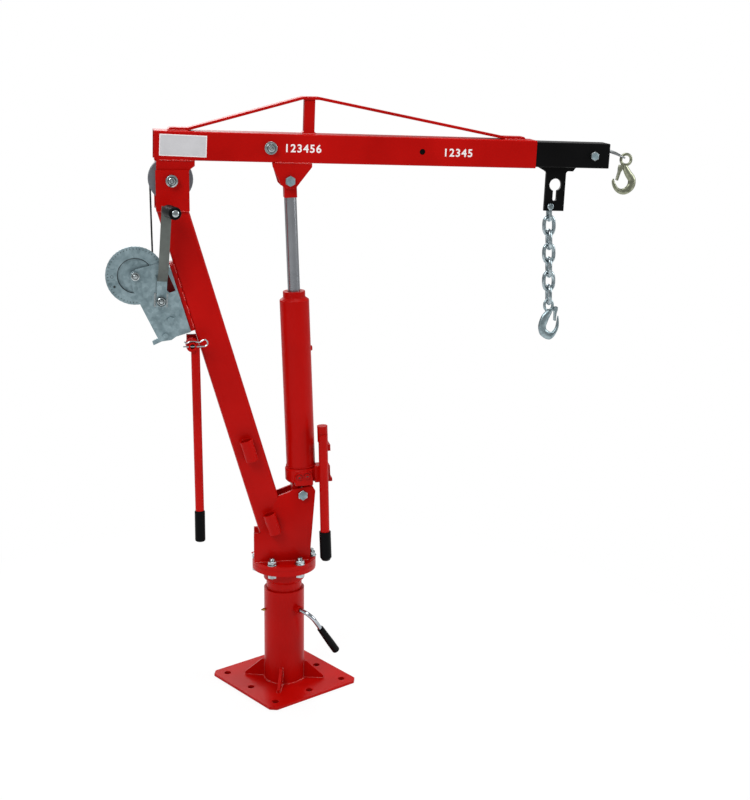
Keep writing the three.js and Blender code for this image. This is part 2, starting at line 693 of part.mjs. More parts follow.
function makePinion() {
  const x = -winch.pinionOut;
  const z = winch.pinionAlong;
  const w = winch.halfWidth;
  const turn = gearLine + Math.PI + Math.PI / gear.pinionTeeth;
  const front = drum.front + drum.sheet + gap;
  const wheel = plate(
    toothedOutline(gear.pinionTeeth, pinionPitchRadius, turn, x, z), front, front + pinion.width,
  );
  const shaft = pin(
    x, z, -w - crank.outset - crank.thick - crank.nutThick, w + pinion.shaftRadius, pinion.shaftRadius,
  );
  const washer = pin(x, z, -w - crank.outset + gap, -w - gap, crank.hub);
  const nut = pin(
    x, z, -w - crank.outset - crank.thick - crank.nutThick, -w - crank.outset - crank.thick - gap,
    crank.nutRadius, 6,
  );
  return join(wheel, shaft, washer, nut);
}

// Crank arm: flat bar with an outward crank near the hub, leaning back to the vertical
function crankPoint(along, y) {
  const lean = crank.lean;
  const tilt = mast.tilt + lean;
  const x = -winch.pinionOut + along * Math.sin(tilt);
  const z = winch.pinionAlong + along * Math.cos(tilt);
  return [x, y, z];
}

const crankFace = -winch.halfWidth - crank.outset;
const gripFace = crankFace - crank.thick - crank.kneeOut;

// Point on the grip's axis, counted outwards from the arm's face; the arm's end is twisted a little
function gripPoint(out) {
  const [x, , z] = crankPoint(crank.length, 0);
  return [x + out * Math.sin(crank.twist), gripFace - out * Math.cos(crank.twist), z];
}

function makeCrankArm() {
  const middle = crankFace - crank.thick / 2;
  const outer = middle - crank.kneeOut;
  const stations = [
    [-crank.hub, middle], [crank.kneeUp, middle], [crank.kneeUp + crank.kneeOut, outer],
    [crank.length - crank.width, outer], [crank.length + crank.width * crank.endShare, outer],
  ].map(([along, y]) => new THREE.Vector3(...crankPoint(along, y)));
  const tilt = mast.tilt + crank.lean;
  const across = [Math.cos(tilt), 0, -Math.sin(tilt)];
  const flat = Math.SQRT2;
  const size = () => [(crank.thick / 2) * flat, (crank.width / 2) * flat];
  const arm = sweep(stations, across, size, { count: 4 });
  const [x, , z] = crankPoint(0, 0);
  const capOut = crankGrip.length - crankGrip.pinHeadThick;
  const post1 = bar(gripPoint(-crank.thick / 2), gripPoint(capOut), crankGrip.pinRadius);
  const head = bar(
    gripPoint(capOut), gripPoint(capOut + crankGrip.pinHeadThick), crankGrip.pinHead - gap, sides.tiny,
  );
  const nutFrom = -crank.thick - crank.nutThick;
  const nut = bar(gripPoint(nutFrom), gripPoint(-crank.thick / 2), crank.nutRadius, 6);
  const hole = pin(x, z, crankFace - crank.thick - overrun, crankFace + overrun, pinion.shaftRadius + gap);
  return cut(join(arm, post1, head, nut), hole);
}

function makeCrankGrip() {
  const rear = crankGrip.radius * Math.sin(crank.twist) + gap;
  const front = crankGrip.length;
  const shoulder = rear + (front - rear) / 6;
  const body = join(
    bar(gripPoint(rear), gripPoint(shoulder), crankGrip.neck, sides.medium, crankGrip.radius),
    bar(gripPoint(shoulder - weldLap), gripPoint(front), crankGrip.radius, sides.medium),
  );
  const bore = bar(gripPoint(rear - overrun), gripPoint(front + overrun), crankGrip.bore);
  const recess = bar(
    gripPoint(front - 2 * crankGrip.pinHeadThick), gripPoint(front + overrun), crankGrip.pinHead + gap,
    sides.small,
  );
  return cut(body, bore, recess);
}

// Ratchet pawl: hub and lever on a stud that is part of it, behind the front cheek
function makePawl() {
  const y0 = -winch.halfWidth + winch.sheet + gap;
  const lever = [
    [-pawl.out - pawl.hub, pawl.along], [-pawl.leverOut, pawl.leverAlong + pawl.leverWidth / 2],
    [-pawl.leverOut, pawl.leverAlong - pawl.leverWidth / 2], [-pawl.out, pawl.along - pawl.hub],
    [-pawl.out + pawl.nose, pawl.along - pawl.hub / 4], [-pawl.out + pawl.nose, pawl.along + pawl.hub / 4],
    [-pawl.out, pawl.along + pawl.hub],
  ];
  const blade = plate(lever, y0, y0 + pawl.thick);
  const stud = pin(-pawl.out, pawl.along, -winch.halfWidth - pawl.thick, y0 + pawl.thick, pawl.pinRadius);
  const head = pin(
    -pawl.out, pawl.along, -winch.halfWidth - pawl.thick, -winch.halfWidth - gap, pawl.hub * 0.6,
  );
  return join(blade, stud, head);
}

// Outer layer of the rope on the drum: one tube wound evenly, its end leaving towards the head pulley
const woundRadius = drum.coreRadius + gap + rope.radius;
const drumPlace = mastFrame.localToWorld(new THREE.Vector3(-winch.drumOut, 0, winch.drumAlong));

function windingPoint(share) {
  const angle = -share * rope.turns * 2 * Math.PI;
  const y = rope.windStart + (rope.turns - share * rope.turns) * rope.pitch;
  return new THREE.Vector3(
    drumPlace.x + woundRadius * Math.cos(angle), y, drumPlace.z + woundRadius * Math.sin(angle),
  );
}

function makeWinding() {
  const steps = Math.round(rope.turns * 24);
  const points = Array.from({ length: steps + 1 }, (_, i) => windingPoint(i / steps));
  points.unshift(points[0].clone().add(new THREE.Vector3(0, 0, rope.lead)));
  const least = rope.pitch - 2 * rope.radius;
  console.log(`least gap between turns of the winding: ${least.toFixed(2)} mm`);
  return sweep(points, [0, 1, 0], () => [rope.radius, rope.radius], { count: 6 });
}

// Rope from the drum up to the pulley and over it
function makeRopeRun() {
  const start = windingPoint(0);
  const left = pivot.x - pulley.ropeRadius;
  const rise = pivot.z - start.z;
  const over = arcPoints(pivot.x, pivot.z, pulley.ropeRadius, Math.PI, Math.PI / 2, 14);
  const shares = [0.12, 0.4, 0.7, rope.settleShare];
  const sway = (share) => start.y * (1 - (share / rope.settleShare) ** rope.ease);
  const up = shares.map(
    (share) => [start.x + (left - start.x) * share, sway(share), start.z + rise * share]
  );
  const foot = start.z + rope.lead + gap;
  return strand([[start.x, start.y, foot], [start.x, start.y, foot + rope.lead], ...up, ...over]);
}

// Steering handle, its stub and the spring clip
function makeStub() {
  const edge = mastEdge(stub.z, -1);
  const tabLeft = stub.x - stub.radius - gap;
  const half = stub.tabHeight / 2;
  const lean = half * Math.tan(mast.tilt);
  const tab = plate(
    [
      [tabLeft, stub.z - half], [edge + lean - 2 * gap, stub.z - half],
      [edge - lean - 2 * gap, stub.z + half], [tabLeft, stub.z + half],
    ],
    stub.rear, stub.rear + stub.tabThick,
  );
  const peg = pin(stub.x, stub.z, stub.front, stub.rear + weldLap, stub.radius, sides.medium);
  const bore = pin(stub.x, stub.z, stub.front - overrun, stub.rear - stub.radius, stub.bore, sides.small);
  const clipY = (stub.front + steer.front) / 2;
  const clipHole = bar(
    [tabLeft, clipY, stub.z], [stub.x + 2 * stub.radius, clipY, stub.z], clip.wire + gap, sides.tiny,
  );
  return cut(join(tab, peg), bore, clipHole);
}

function makeClip() {
  const y = (stub.front + steer.front) / 2;
  const low = stub.z;
  const loopX = clip.right - clip.loop;
  const straight = [[clip.left, y, low], [stub.x, y, low], [loopX, y, low]];
  const loop = arcPoints(loopX, low + clip.loop, clip.loop, -Math.PI / 2, Math.PI / 2, 8, y).slice(1);
  const rest = stub.radius + 1.5 * clip.wire;
  const back = [
    [
      loopX - clip.loop * 1.3, y, low + rest * 0.85,
    ], [stub.x + rest * 0.5, y, low + rest], [stub.x - rest * 0.5, y, low + rest],
    [stub.x - rest * 1.2, y, low + rest * 0.7], [stub.x - rest * 1.6, y, low + rest],
  ];
  const curve = new THREE.CatmullRomCurve3(
    [...straight, ...loop, ...back].map((p) => new THREE.Vector3(...p)), false, 'centripetal',
  );
  return sweep(curve.getPoints(36), [0, 1, 0], () => [clip.wire, clip.wire], { count: 6 });
}

function makeSteerHandle() {
  const y = (steer.front + steer.rear) / 2;
  const sleeve = pin(stub.x, stub.z, steer.front, steer.rear, steer.sleeve, sides.medium);
  const top = stub.z - steer.sleeve / 2;
  const rod = bar(
    [steer.barTop, y, top], [steer.barFoot, y, stub.z - steer.barLength], steer.barRadius, sides.medium,
  );
  return cut(
    join(sleeve, rod),
    pin(stub.x, stub.z, steer.front - overrun, steer.rear + overrun, stub.radius + gap, sides.medium),
  );
}

function makeSteerGrip() {
  const y = (steer.front + steer.rear) / 2;
  const top = stub.z - steer.barLength - gap;
  return bar(
    [steer.barFoot, y, top], [steer.barFoot, y, top - steer.gripLength], steer.gripRadius, sides.medium,
  );
}

// Boom tube with its hinge lugs welded on, in the boom's frame
function makeBoomTube() {
  const turned = squareTube(boom.size, boom.wall, boom.corner, boom.left, boom.right).rotate([0, 90, 0]);
  const body = turned.translate([0, 0, boom.axisHeight]);
  const foot = boom.axisHeight - boom.size / 2;
  const slot = block(
    boom.left - overrun, boomSlot.right, -boomSlot.width / 2, boomSlot.width / 2, foot - overrun,
    foot + boom.wall + overrun,
  );
  const holes = [0, lockBolt.travel].map(
    (shift) => pin(lockBolt.x + shift, boom.axisHeight, -boom.size, boom.size, lockBolt.radius + gap)
  );
  return join(cut(body, slot, ...holes), makeLug(-1), makeLug(1));
}

function makeLug(hand) {
  const top = boom.axisHeight - boom.size / 2 + boom.corner;
  const shape = new THREE.Shape();
  shape.moveTo(lug.left, top);
  shape.lineTo(lug.left, 0);
  shape.lineTo(-lug.footRadius, -lug.footRadius / 3);
  shape.absarc(0, 0, lug.footRadius, Math.PI * 1.1, Math.PI * 1.95);
  shape.lineTo(lug.waist, lug.waist / 2);
  shape.lineTo(lug.right, lug.shoulder);
  shape.lineTo(lug.right, top);
  const outer = (hand * boom.size) / 2;
  const inner = outer - hand * lug.thick;
  const cheek = plate(shape, Math.min(inner, outer), Math.max(inner, outer));
  return cut(cheek, pin(0, 0, -boom.size, boom.size, pivot.boltRadius + gap));
}

function makeBracket(hand) {
  const top = boom.axisHeight - boom.size / 2 - gap;
  const left = bracket.left + (hand > 0 ? bracket.rearTrim : 0);
  const outline = [
    [left, top], [left, top - bracket.lip], [bracket.footLeft - bracket.lip, bracket.foot + bracket.lip],
    [bracket.footLeft, bracket.foot], [bracket.footRight, bracket.foot], [
      bracket.right, top - bracket.lip,
    ], [bracket.right, top],
  ];
  const outer = (hand * boom.size) / 2;
  const inner = outer - hand * bracket.thick;
  const cheek = plate(outline, Math.min(inner, outer), Math.max(inner, outer));
  return cut(cheek, pin(bracket.pinX, bracket.pin, -boom.size, boom.size, jack.boltRadius + gap));
}

// Truss strap: one flat bar bent over the strut, its feet welded to the boom
function makeTruss() {
  const top = boom.axisHeight + boom.size / 2 + gap;
  const t = truss.thick;
  const outline = [
    [truss.left, top], [truss.footEnd, top], [
      truss.riseStart, truss.peak - t,
    ], [truss.riseEnd, truss.peak - t], [truss.fallEnd, top],
    [truss.right, top], [truss.right - t, top + t], [truss.fallEnd, top + t], [truss.riseEnd, truss.peak], [
      truss.riseStart, truss.peak,
    ],
    [truss.footEnd, top + t], [truss.left + t, top + t],
  ];
  return plate(outline, -truss.width / 2, truss.width / 2);
}

function makeStrut() {
  const foot = boom.axisHeight + boom.size / 2 + gap;
  const top = truss.peak - truss.thick - gap;
  const tube = squareTube(strut.size, strut.wall, strut.wall, foot, top).translate([strut.x, 0, 0]);
  const half = strut.size / 2;
  const inner = half - strut.wall;
  const skirt = [
    [-half - strut.flare, foot], [-inner, foot], [-inner, foot + strut.flare], [
      -half + weldLap, foot + strut.flare,
    ],
  ];
  const skirts = [1, -1].map((hand) => {
    const points = skirt.map(([x, z]) => [strut.x + hand * x, z]);
    return plate(hand > 0 ? points : points.reverse(), -half + strut.wall, half - strut.wall);
  });
  return join(tube, ...skirts);
}

function makeLockBolt() {
  const half = boom.size / 2;
  const { x, radius, washerRadius, washerThick, headRadius, headThick } = lockBolt;
  const z = boom.axisHeight;
  const washer = pin(x, z, -half - gap - washerThick, -half - gap, washerRadius, sides.medium);
  const head = pin(
    x, z, -half - gap - washerThick - headThick, -half - gap - washerThick + weldLap, headRadius,
    sides.small,
  );
  const socket = pin(
    x, z, -half - washerThick - headThick - overrun, -half - washerThick - headThick / 2, socketRadius, 6,
  );
  const shank = pin(x, z, -half - gap - washerThick, half + headThick, radius);
  const nut = pin(x, z, half + gap, half + headThick, headRadius, 6);
  return cut(join(washer, head, shank, nut), socket);
}

// Head bolt of the boom hinge: washer and socket head in front, nut behind
function makePivotBolt() {
  const face = mast.size / 2 - weldLap + headPlate.thick;
  const front = -face - gap;
  const shank = pin(pivot.x, pivot.z, front, face + pivot.headThick, pivot.boltRadius);
  const washer = pin(pivot.x, pivot.z, front - overrun, front, pivot.headRadius, sides.medium);
  const head = pin(
    pivot.x, pivot.z, front - overrun - pivot.headThick, front - overrun + weldLap, pivot.headRadius * 0.8,
    sides.small,
  );
  const socket = pin(
    pivot.x, pivot.z, front - 2 * overrun - pivot.headThick, front - overrun - pivot.headThick / 2,
    socketRadius, 6,
  );
  const nut = pin(pivot.x, pivot.z, face + gap, face + pivot.headThick, pivot.headRadius * 0.9, 6);
  return cut(join(shank, washer, head, nut), socket);
}

function makePulley() {
  const h = pulley.halfWidth;
  const groove = pulley.ropeRadius - rope.radius - gap;
  const body = lathe([
    [pulley.bore, -h], [pulley.radius, -h], [
      pulley.radius, -h * 0.6,
    ], [groove, -h * 0.25], [groove, h * 0.25],
    [pulley.radius, h * 0.6], [pulley.radius, h], [pulley.bore, h], [pulley.bore, -h],
  ]);
  return body.rotate([90, 0, 0]).translate([pivot.x, 0, pivot.z]);
}

// Extension tube: open notch at its inner end round the lock bolt, hanger plate below its tip
const extensionZ = boom.axisHeight - (boom.size / 2 - boom.wall) + extension.lift + extension.size / 2;

function makeExtension() {
  const turned = squareTube(
    extension.size, extension.wall, extension.corner, extension.rear, extension.right,
  ).rotate([0, 90, 0]);
  const body = turned.translate([0, 0, extensionZ]);
  const wide = lockBolt.radius + 2 * gap + Math.abs(boom.axisHeight - extensionZ);
  const notch = join(
    block(
      extension.rear - overrun, lockBolt.x, -boom.size, boom.size, boom.axisHeight - wide,
      boom.axisHeight + wide,
    ),
    pin(lockBolt.x, boom.axisHeight, -boom.size, boom.size, wide),
  );
  const hole = pin(roller.x, extensionZ, -boom.size, boom.size, roller.boltRadius + gap);
  return cut(body, notch, hole);
}

function makeRollerBolt() {
  const half = extension.size / 2;
  return bolt(
    roller.x, extensionZ, -half, half, roller.boltRadius, roller.headRadius, roller.boltRadius * 1.4,
  );
}

function makeRoller() {
  const h = roller.halfWidth;
  const groove = roller.ropeRadius - rope.radius - gap;
  const body = lathe([
    [roller.bore, -h], [roller.radius, -h], [
      roller.radius, -h * 0.7,
    ], [groove, -h * 0.3], [groove, h * 0.3],
    [roller.radius, h * 0.7], [roller.radius, h], [roller.bore, h], [roller.bore, -h],
  ], sides.medium);
  return body.rotate([90, 0, 0]).translate([roller.x, 0, extensionZ]);
}

function makeHanger() {
  const top = extensionZ - extension.size / 2 - gap;
  const t = hanger.thick / 2;
  const outline = [
    [hanger.topLeft, top], [
      hanger.topLeft + hanger.leftBevel, hanger.shoulder,
    ], [hanger.legLeft, hanger.shoulder - hanger.bevel / 2],
    [hanger.legLeft, hanger.foot], [hanger.legRight, hanger.foot], [
      hanger.legRight, hanger.shoulder - hanger.bevel / 2,
    ],
    [
      hanger.legRight + hanger.bevel / 2, hanger.shoulder,
    ], [hanger.topRight - hanger.bevel, hanger.shoulder], [hanger.topRight, top],
  ];
  const slotCentre = hanger.slotFoot + hanger.slotHalf;
  const tools = [
    pin(hanger.keyX, hanger.keyZ, -t - overrun, t + overrun, hanger.keyRadius, sides.medium),
    block(
      hanger.keyX - hanger.slotHalf, hanger.keyX + hanger.slotHalf, -t - overrun, t + overrun, slotCentre,
      hanger.keyZ,
    ),
    pin(hanger.keyX, slotCentre, -t - overrun, t + overrun, hanger.slotHalf),
    pin(hanger.pinX, hanger.pinZ, -t - overrun, t + overrun, shackle.pinRadius + gap),
  ];
  return cut(plate(outline, -t, t), ...tools);
}

// Rope inside the boom, and its outer end: over the tip roller, through the hook's eye and back into a
// ferrule
const ropeSplit = extension.rear - overrun;
const rollerTop = extensionZ + roller.ropeRadius;

function ropeHeight(x) {
  return pulley.ropeRadius + ((rollerTop - pulley.ropeRadius) * x) / roller.x;
}

function makeRopeInBoom() {
  return strand([gap, ropeSplit].map((x) => [x, 0, ropeHeight(x)]));
}

function makeRopeEnd() {
  const toBoom = (x, y, z) => boomFrame.worldToLocal(new THREE.Vector3(x, y, z)).toArray();
  const mouth = toBoom(ropeLoop.mouthX, 0, ropeLoop.mouthZ);
  const back = ropeLoop.ferruleLength;
  const eye = ropeHook.eyeBend * Math.SQRT1_2;
  const ringX = ropeHook.eyeX - eye;
  const ringZ = ropeHook.eyeZ + eye;
  const reach = ropeLoop.seat * Math.SQRT1_2;
  const bight = [ringX + reach, ringZ - reach];
  const span = [bight[0] - ropeLoop.mouthX, bight[1] - ropeLoop.mouthZ];
  const spot = (share, y) => toBoom(
    ropeLoop.mouthX + span[0] * share, y, ropeLoop.mouthZ + span[1] * share,
  );
  const h = ropeLoop.half;
  const half = (hand) => {
    const shares = [[0.22, 0.55, 0.5], [0.5, 1, 1], [0.76, 0.95, 0.9], [0.93, 0.5, 0.25]];
    return shares.map(([along, out, up]) => {
      const [x, y, z] = spot(along, hand * h * out);
      return [x, y, z + (hand > 0 ? up * ropeLoop.rearLift : 0)];
    });
  };
  const loop = [...half(-1), spot(1, 0), ...half(1).reverse()];
  const start = [mouth[0] - back * 0.3, 0, mouth[2]];
  const lead = strand([...[ropeSplit + gap, roller.x].map((x) => [x, 0, ropeHeight(x)]), start]);
  const lasso = strand(
    smoothRoute([start, ...loop, [start[0], rope.radius, start[2]]], 34), [span[1], 0, -span[0]],
  );
  const ferrule = bar(
    [mouth[0] - back, 0, mouth[2]], [mouth[0], 0, mouth[2]], ropeLoop.ferruleRadius, sides.tiny,
  );
  return join(lead, lasso, ferrule);
}

// Links: each hangs from the one above, every other one turned a quarter
const hangGap = gap;

function ringPoints(x, y, z, bend, straight, quarter) {
  const points = [];
  for (let i = 0; i < 18; i += 1) {
    const angle = ((i + 0.5) * Math.PI) / 9;
    const lift = Math.sin(angle) > 0 ? straight / 2 : -straight / 2;
    const sideways = bend * Math.cos(angle);
    const rise = bend * Math.sin(angle) + lift;
    points.push(new THREE.Vector3(x + (quarter ? 0 : sideways), y + (quarter ? sideways : 0), z + rise));
  }
  return points;
}

function makeShackle() {
  const { wire, halfGap, earThick, earRadius, pinRadius, headRadius, headThick, drop } = shackle;
  const half = halfGap + earThick / 2;
  const points = [[0, -half, 0], [0, -half, -earRadius]];
  for (let i = 0; i <= 8; i += 1) {
    const angle = Math.PI + (i * Math.PI) / 8;
    points.push([0, half * Math.cos(angle), -(drop - half) + half * Math.sin(angle)]);
  }
  points.push([0, half, -earRadius], [0, half, 0]);
  const bow = sweep(
    points.map((p) => new THREE.Vector3(...p)), [1, 0, 0], () => [wire, wire], { count: 8 },
  );
  const ears = [-1, 1].map(
    (hand) => pin(0, 0, hand * half - earThick / 2, hand * half + earThick / 2, earRadius)
  );
  const shaft = pin(0, 0, -halfGap - earThick - headThick, halfGap + earThick + overrun, pinRadius);
  const head = pin(0, 0, -halfGap - earThick - headThick, -halfGap - earThick + weldLap, headRadius);
  return join(bow, ...ears, shaft, head);
}

const firstTop = -shackle.drop + shackle.wire + link.wire + hangGap;
const linkPitch = link.straight + 2 * link.bend - 2 * link.wire - hangGap;

function linkCentre(i) {
  return firstTop - i * linkPitch - link.bend - link.straight / 2;
}

function makeLink(i) {
  const quarter = i % 2 === 1;
  const points = ringPoints(0, 0, linkCentre(i), link.bend, link.straight, quarter);
  const across = quarter ? [1, 0, 0] : [0, 1, 0];
  return sweep(points, across, () => [link.wire, link.wire], { closed: true, count: 8 });
}

// Hooks: an eye and a tapered curved body, as shares of the hook's length below the eye's centre
const chainHookShares = [
  [0.012, -0.192, 0.093], [
    -0.095, -0.341, 0.117,
  ], [-0.173, -0.54, 0.113], [-0.176, -0.653, 0.111], [-0.135, -0.76, 0.117],
  [
    0.007, -0.859, 0.113,
  ], [0.083, -0.843, 0.089], [0.153, -0.788, 0.065], [0.232, -0.675, 0.048], [0.261, -0.547, 0.041],
  [0.271, -0.401, 0.025], [0.275, -0.312, 0.008],
];
const ropeHookShares = [
  [
    -0.012, -0.214, 0.082,
  ], [0.093, -0.393, 0.103], [0.187, -0.517, 0.109], [0.208, -0.611, 0.112], [0.189, -0.718, 0.114],
  [0.124, -0.804, 0.104], [0.016, -0.87, 0.091], [
    -0.109, -0.874, 0.072,
  ], [-0.226, -0.812, 0.059], [-0.308, -0.692, 0.051],
  [-0.342, -0.583, 0.034], [-0.33, -0.52, 0.014],
];

function latchHinge(spec) {
  return [spec.hingeShare[0] * spec.length, spec.hingeShare[1] * spec.length];
}

// Hook body, eye ring and the lug that carries the latch; extra grows it all round
function hookBody(spec, shares, extra = 0) {
  const spine = shares.map(([x, z]) => new THREE.Vector3(x * spec.length, 0, z * spec.length));
  const curve = new THREE.CatmullRomCurve3(spine, false, 'centripetal');
  const widths = new THREE.CatmullRomCurve3(
    shares.map(([, , w], i) => new THREE.Vector3(i, w * spec.length, 0))
  );
  const steps = 20;
  const points = Array.from({ length: steps + 1 }, (_, i) => curve.getPoint(i / steps));
  const size = (i) => {
    const wide = widths.getPoint(i / steps).y;
    return [wide + extra, Math.min(wide, spec.thick) + extra];
  };
  const body = sweep(points, [0, 1, 0], size, { count: 8 });
  const wire = spec.eyeWire + extra;
  const ring = sweep(
    ringPoints(0, 0, 0, spec.eyeBend, spec.eyeStraight, false), [0, 1, 0], () => [wire, wire],
    { closed: true, count: 8 },
  );
  const rise = spec.eyeStraight / 2;
  const clear = spec.eyeBend - wire;
  const bore = join(
    pin(0, rise, -spec.length, spec.length, clear, 20), pin(0, -rise, -spec.length, spec.length, clear, 20),
    block(-clear, clear, -spec.length, spec.length, -rise - gap, rise + gap),
  );
  const [x, z] = latchHinge(spec);
  const half = latch.lugHalf + extra;
  const lugRound = pin(x, z, -half, half, latch.lugRadius + extra);
  const web = sweep(
    [new THREE.Vector3(x, 0, z), spine[0]], [0, 1, 0], () => [latch.lugRadius + extra, half * Math.SQRT2],
    { count: 4 },
  );
  return join(cut(join(body, web), bore), lugRound, ring);
}

function makeHook(spec, shares) {
  const [x, z] = latchHinge(spec);
  return cut(hookBody(spec, shares), pin(x, z, -spec.length, spec.length, latch.rivet + gap, sides.tiny));
}

// Sheet latch: two cheeks beside the hook's lug on a rivet, and a blade down to the hook's tip
function makeHookLatch(spec, shares) {
  const [x, z] = latchHinge(spec);
  const tip = new THREE.Vector3(spec.tipShare[0] * spec.length, 0, spec.tipShare[1] * spec.length);
  const hinge = new THREE.Vector3(x, 0, z);
  const points = [-0.1, 0.12, 0.4, 1].map((share) => hinge.clone().lerp(tip, share));
  const widths = [latch.root / 2, latch.root / 2, latch.root / 4, latch.tip / 2];
  const blade = sweep(
    points, [0, 1, 0], (i) => [widths[i] * Math.SQRT2, latch.halfThick * Math.SQRT2], { count: 4 },
  );
  const rivet = pin(x, z, -latch.halfThick + gap, latch.halfThick - gap, latch.rivet, sides.tiny);
  const room = hookBody(spec, shares, gap).translate([-x, 0, -z]);
  const swept = [0, 1, 2, 3].map(
    (step) => room.rotate([0, -(spec.opening * step) / 3 / degree, 0]).translate([x, 0, z])
  );
  return join(cut(blade, ...swept), rivet);
}

// Jack, in its own frame: origin beside the foot bolt, +Z along the jack
function makeRam() {
  const top = jackLength;
  const eyeFoot = top + ram.eyeFoot;
  const eyeBlock = block(-ram.eyeHalf, ram.eyeHalf, -ram.eyeDepth, ram.eyeDepth, eyeFoot, top);
  const eyeRound = pin(-jack.offset, top, -ram.eyeDepth, ram.eyeDepth, ram.eyeHalf, sides.medium);
  const rod = bar([0, 0, top - ram.pistonDrop], [0, 0, eyeFoot + weldLap], ram.radius, sides.medium);
  const piston = bar(
    [0, 0, top - ram.pistonDrop], [0, 0, top - ram.pistonDrop + ram.pistonHeight], ram.pistonRadius,
    sides.medium,
  );
  const hole = pin(-jack.offset, top, -boom.size, boom.size, jack.boltRadius + gap);
  return cut(join(eyeBlock, eyeRound, rod, piston), hole);
}

function makeHeadBolt() {
  const half = boom.size / 2;
  return bolt(bracket.pinX, bracket.pin, -half, half, jack.boltRadius, jack.headRadius, jack.headThick);
}

function makeFootBolt() {
  const half = mast.size / 2;
  return bolt(jack.x, jack.z, -half, half, jack.boltRadius, jack.headRadius, jack.headThick);
}

function makeBarrel() {
  const inner = barrel.radius - barrel.wall;
  const bore = ram.radius + gap;
  const shell = lathe([
    [inner, barrel.from], [barrel.radius, barrel.from], [barrel.radius, barrel.capFrom], [
      barrel.glandRadius, barrel.capFrom + barrel.wall,
    ],
    [
      barrel.glandRadius, barrel.capTo,
    ], [bore, barrel.capTo], [bore, barrel.capFrom], [inner, barrel.capFrom], [inner, barrel.from],
  ]);
  const filler = bar(
    [inner + weldLap, 0, barrel.plugAlong], [barrel.radius + barrel.plugRadius / 2, 0, barrel.plugAlong],
    barrel.plugRadius, sides.tiny,
  );
  return join(shell, filler);
}

// Jack base: one casting of collar, valve plate, foot lug open towards the bolt's travel, pump housing and
// fulcrum
function makeJackBase() {
  const body = lathe([
    [0, collar.from], [
      collar.radius - collar.bevel, collar.from,
    ], [collar.radius, collar.from + collar.bevel],
    [collar.radius, collar.to - collar.bevel], [collar.radius - collar.bevel, collar.to], [0, collar.to],
  ], sides.medium);
  const lugBody = block(
    collar.lugLeft, collar.lugRight, -collar.lugHalf, collar.lugHalf, collar.lugFoot, collar.from + weldLap,
  );
  const boltPlace = -jack.offset;
  const slot = join(
    block(boltPlace, collar.lugRight + overrun, -boom.size, boom.size, -collar.slotHalf, collar.slotHalf),
    pin(boltPlace, 0, -boom.size, boom.size, collar.slotHalf, sides.medium),
  );
  const housing = block(pump.left, pump.right, pump.front, pump.rear, pump.from, pump.to);
  const toe = block(
    pump.left, pump.right + pump.toeOut, pump.front, pump.rear, pump.from, pump.from + pump.toeHeight,
  );
  const tube = bar(
    [chamber.x, chamber.y, pump.to - weldLap], [chamber.x, chamber.y, chamber.top], chamber.radius,
    sides.small,
  );
  const bore = bar(
    [chamber.x, chamber.y, plunger.from - gap], [chamber.x, chamber.y, chamber.top + overrun], chamber.bore,
    sides.small,
  );
  const { x, y, along, halfX, halfY, head, pinRadius } = fulcrum;
  const column = block(x - halfX, x + halfX, y - halfY, y + halfY, pump.to - weldLap, along + head);
  const reach = halfX + gap + fulcrum.cheek;
  const cross = bar([x - reach, y, along], [x + reach, y, along], pinRadius, sides.small);
  const arch = [[0, 1], [0.13, 0.5], [0.5, 0.13], [1, 0]].map(([a, b]) => [a * valve.round, b * valve.round]);
  const outline = [
    [valve.left, valve.foot], [valve.right, valve.foot], ...arch.map(([a, b]) => [valve.right - a, valve.top - b]),
    ...arch.map(([a, b]) => [valve.left + a, valve.top - b]).reverse(),
  ];
  const cheek = plate(outline, -collar.radius - valve.out, -collar.radius / 2);
  const screwHole = bar(
    [
      valve.x, -collar.radius - valve.out - overrun, valve.along,
    ], [valve.x, -collar.radius / 2, valve.along],
    valve.screwRadius + gap, sides.small,
  );
  const seat = bar([0, 0, collar.to], [0, 0, chamber.top + overrun], barrel.radius + 2 * gap, sides.medium);
  return cut(
    join(body, cheek, lugBody, cut(join(housing, toe, tube), seat), column, cross), slot, bore, screwHole,
  );
}

function makeValveScrew() {
  const front = -collar.radius - valve.out - valve.screwOut;
  const body = bar(
    [valve.x, -collar.radius / 2 - gap, valve.along], [valve.x, front, valve.along], valve.screwRadius,
    sides.small,
  );
  const kerf = block(
    valve.x - overrun / 3, valve.x + overrun / 3, front - overrun, front + overrun / 2,
    valve.along - collar.radius, valve.along + collar.radius,
  );
  return cut(body, kerf);
}

function makePlunger() {
  const { x, y } = chamber;
  const neck = plunger.to - plunger.taper;
  return join(
    bar([x, y, plunger.from], [x, y, neck], plunger.radius, sides.small),
    bar([x, y, neck - weldLap], [x, y, plunger.to], plunger.radius, sides.small, plunger.tipRadius),
  );
}

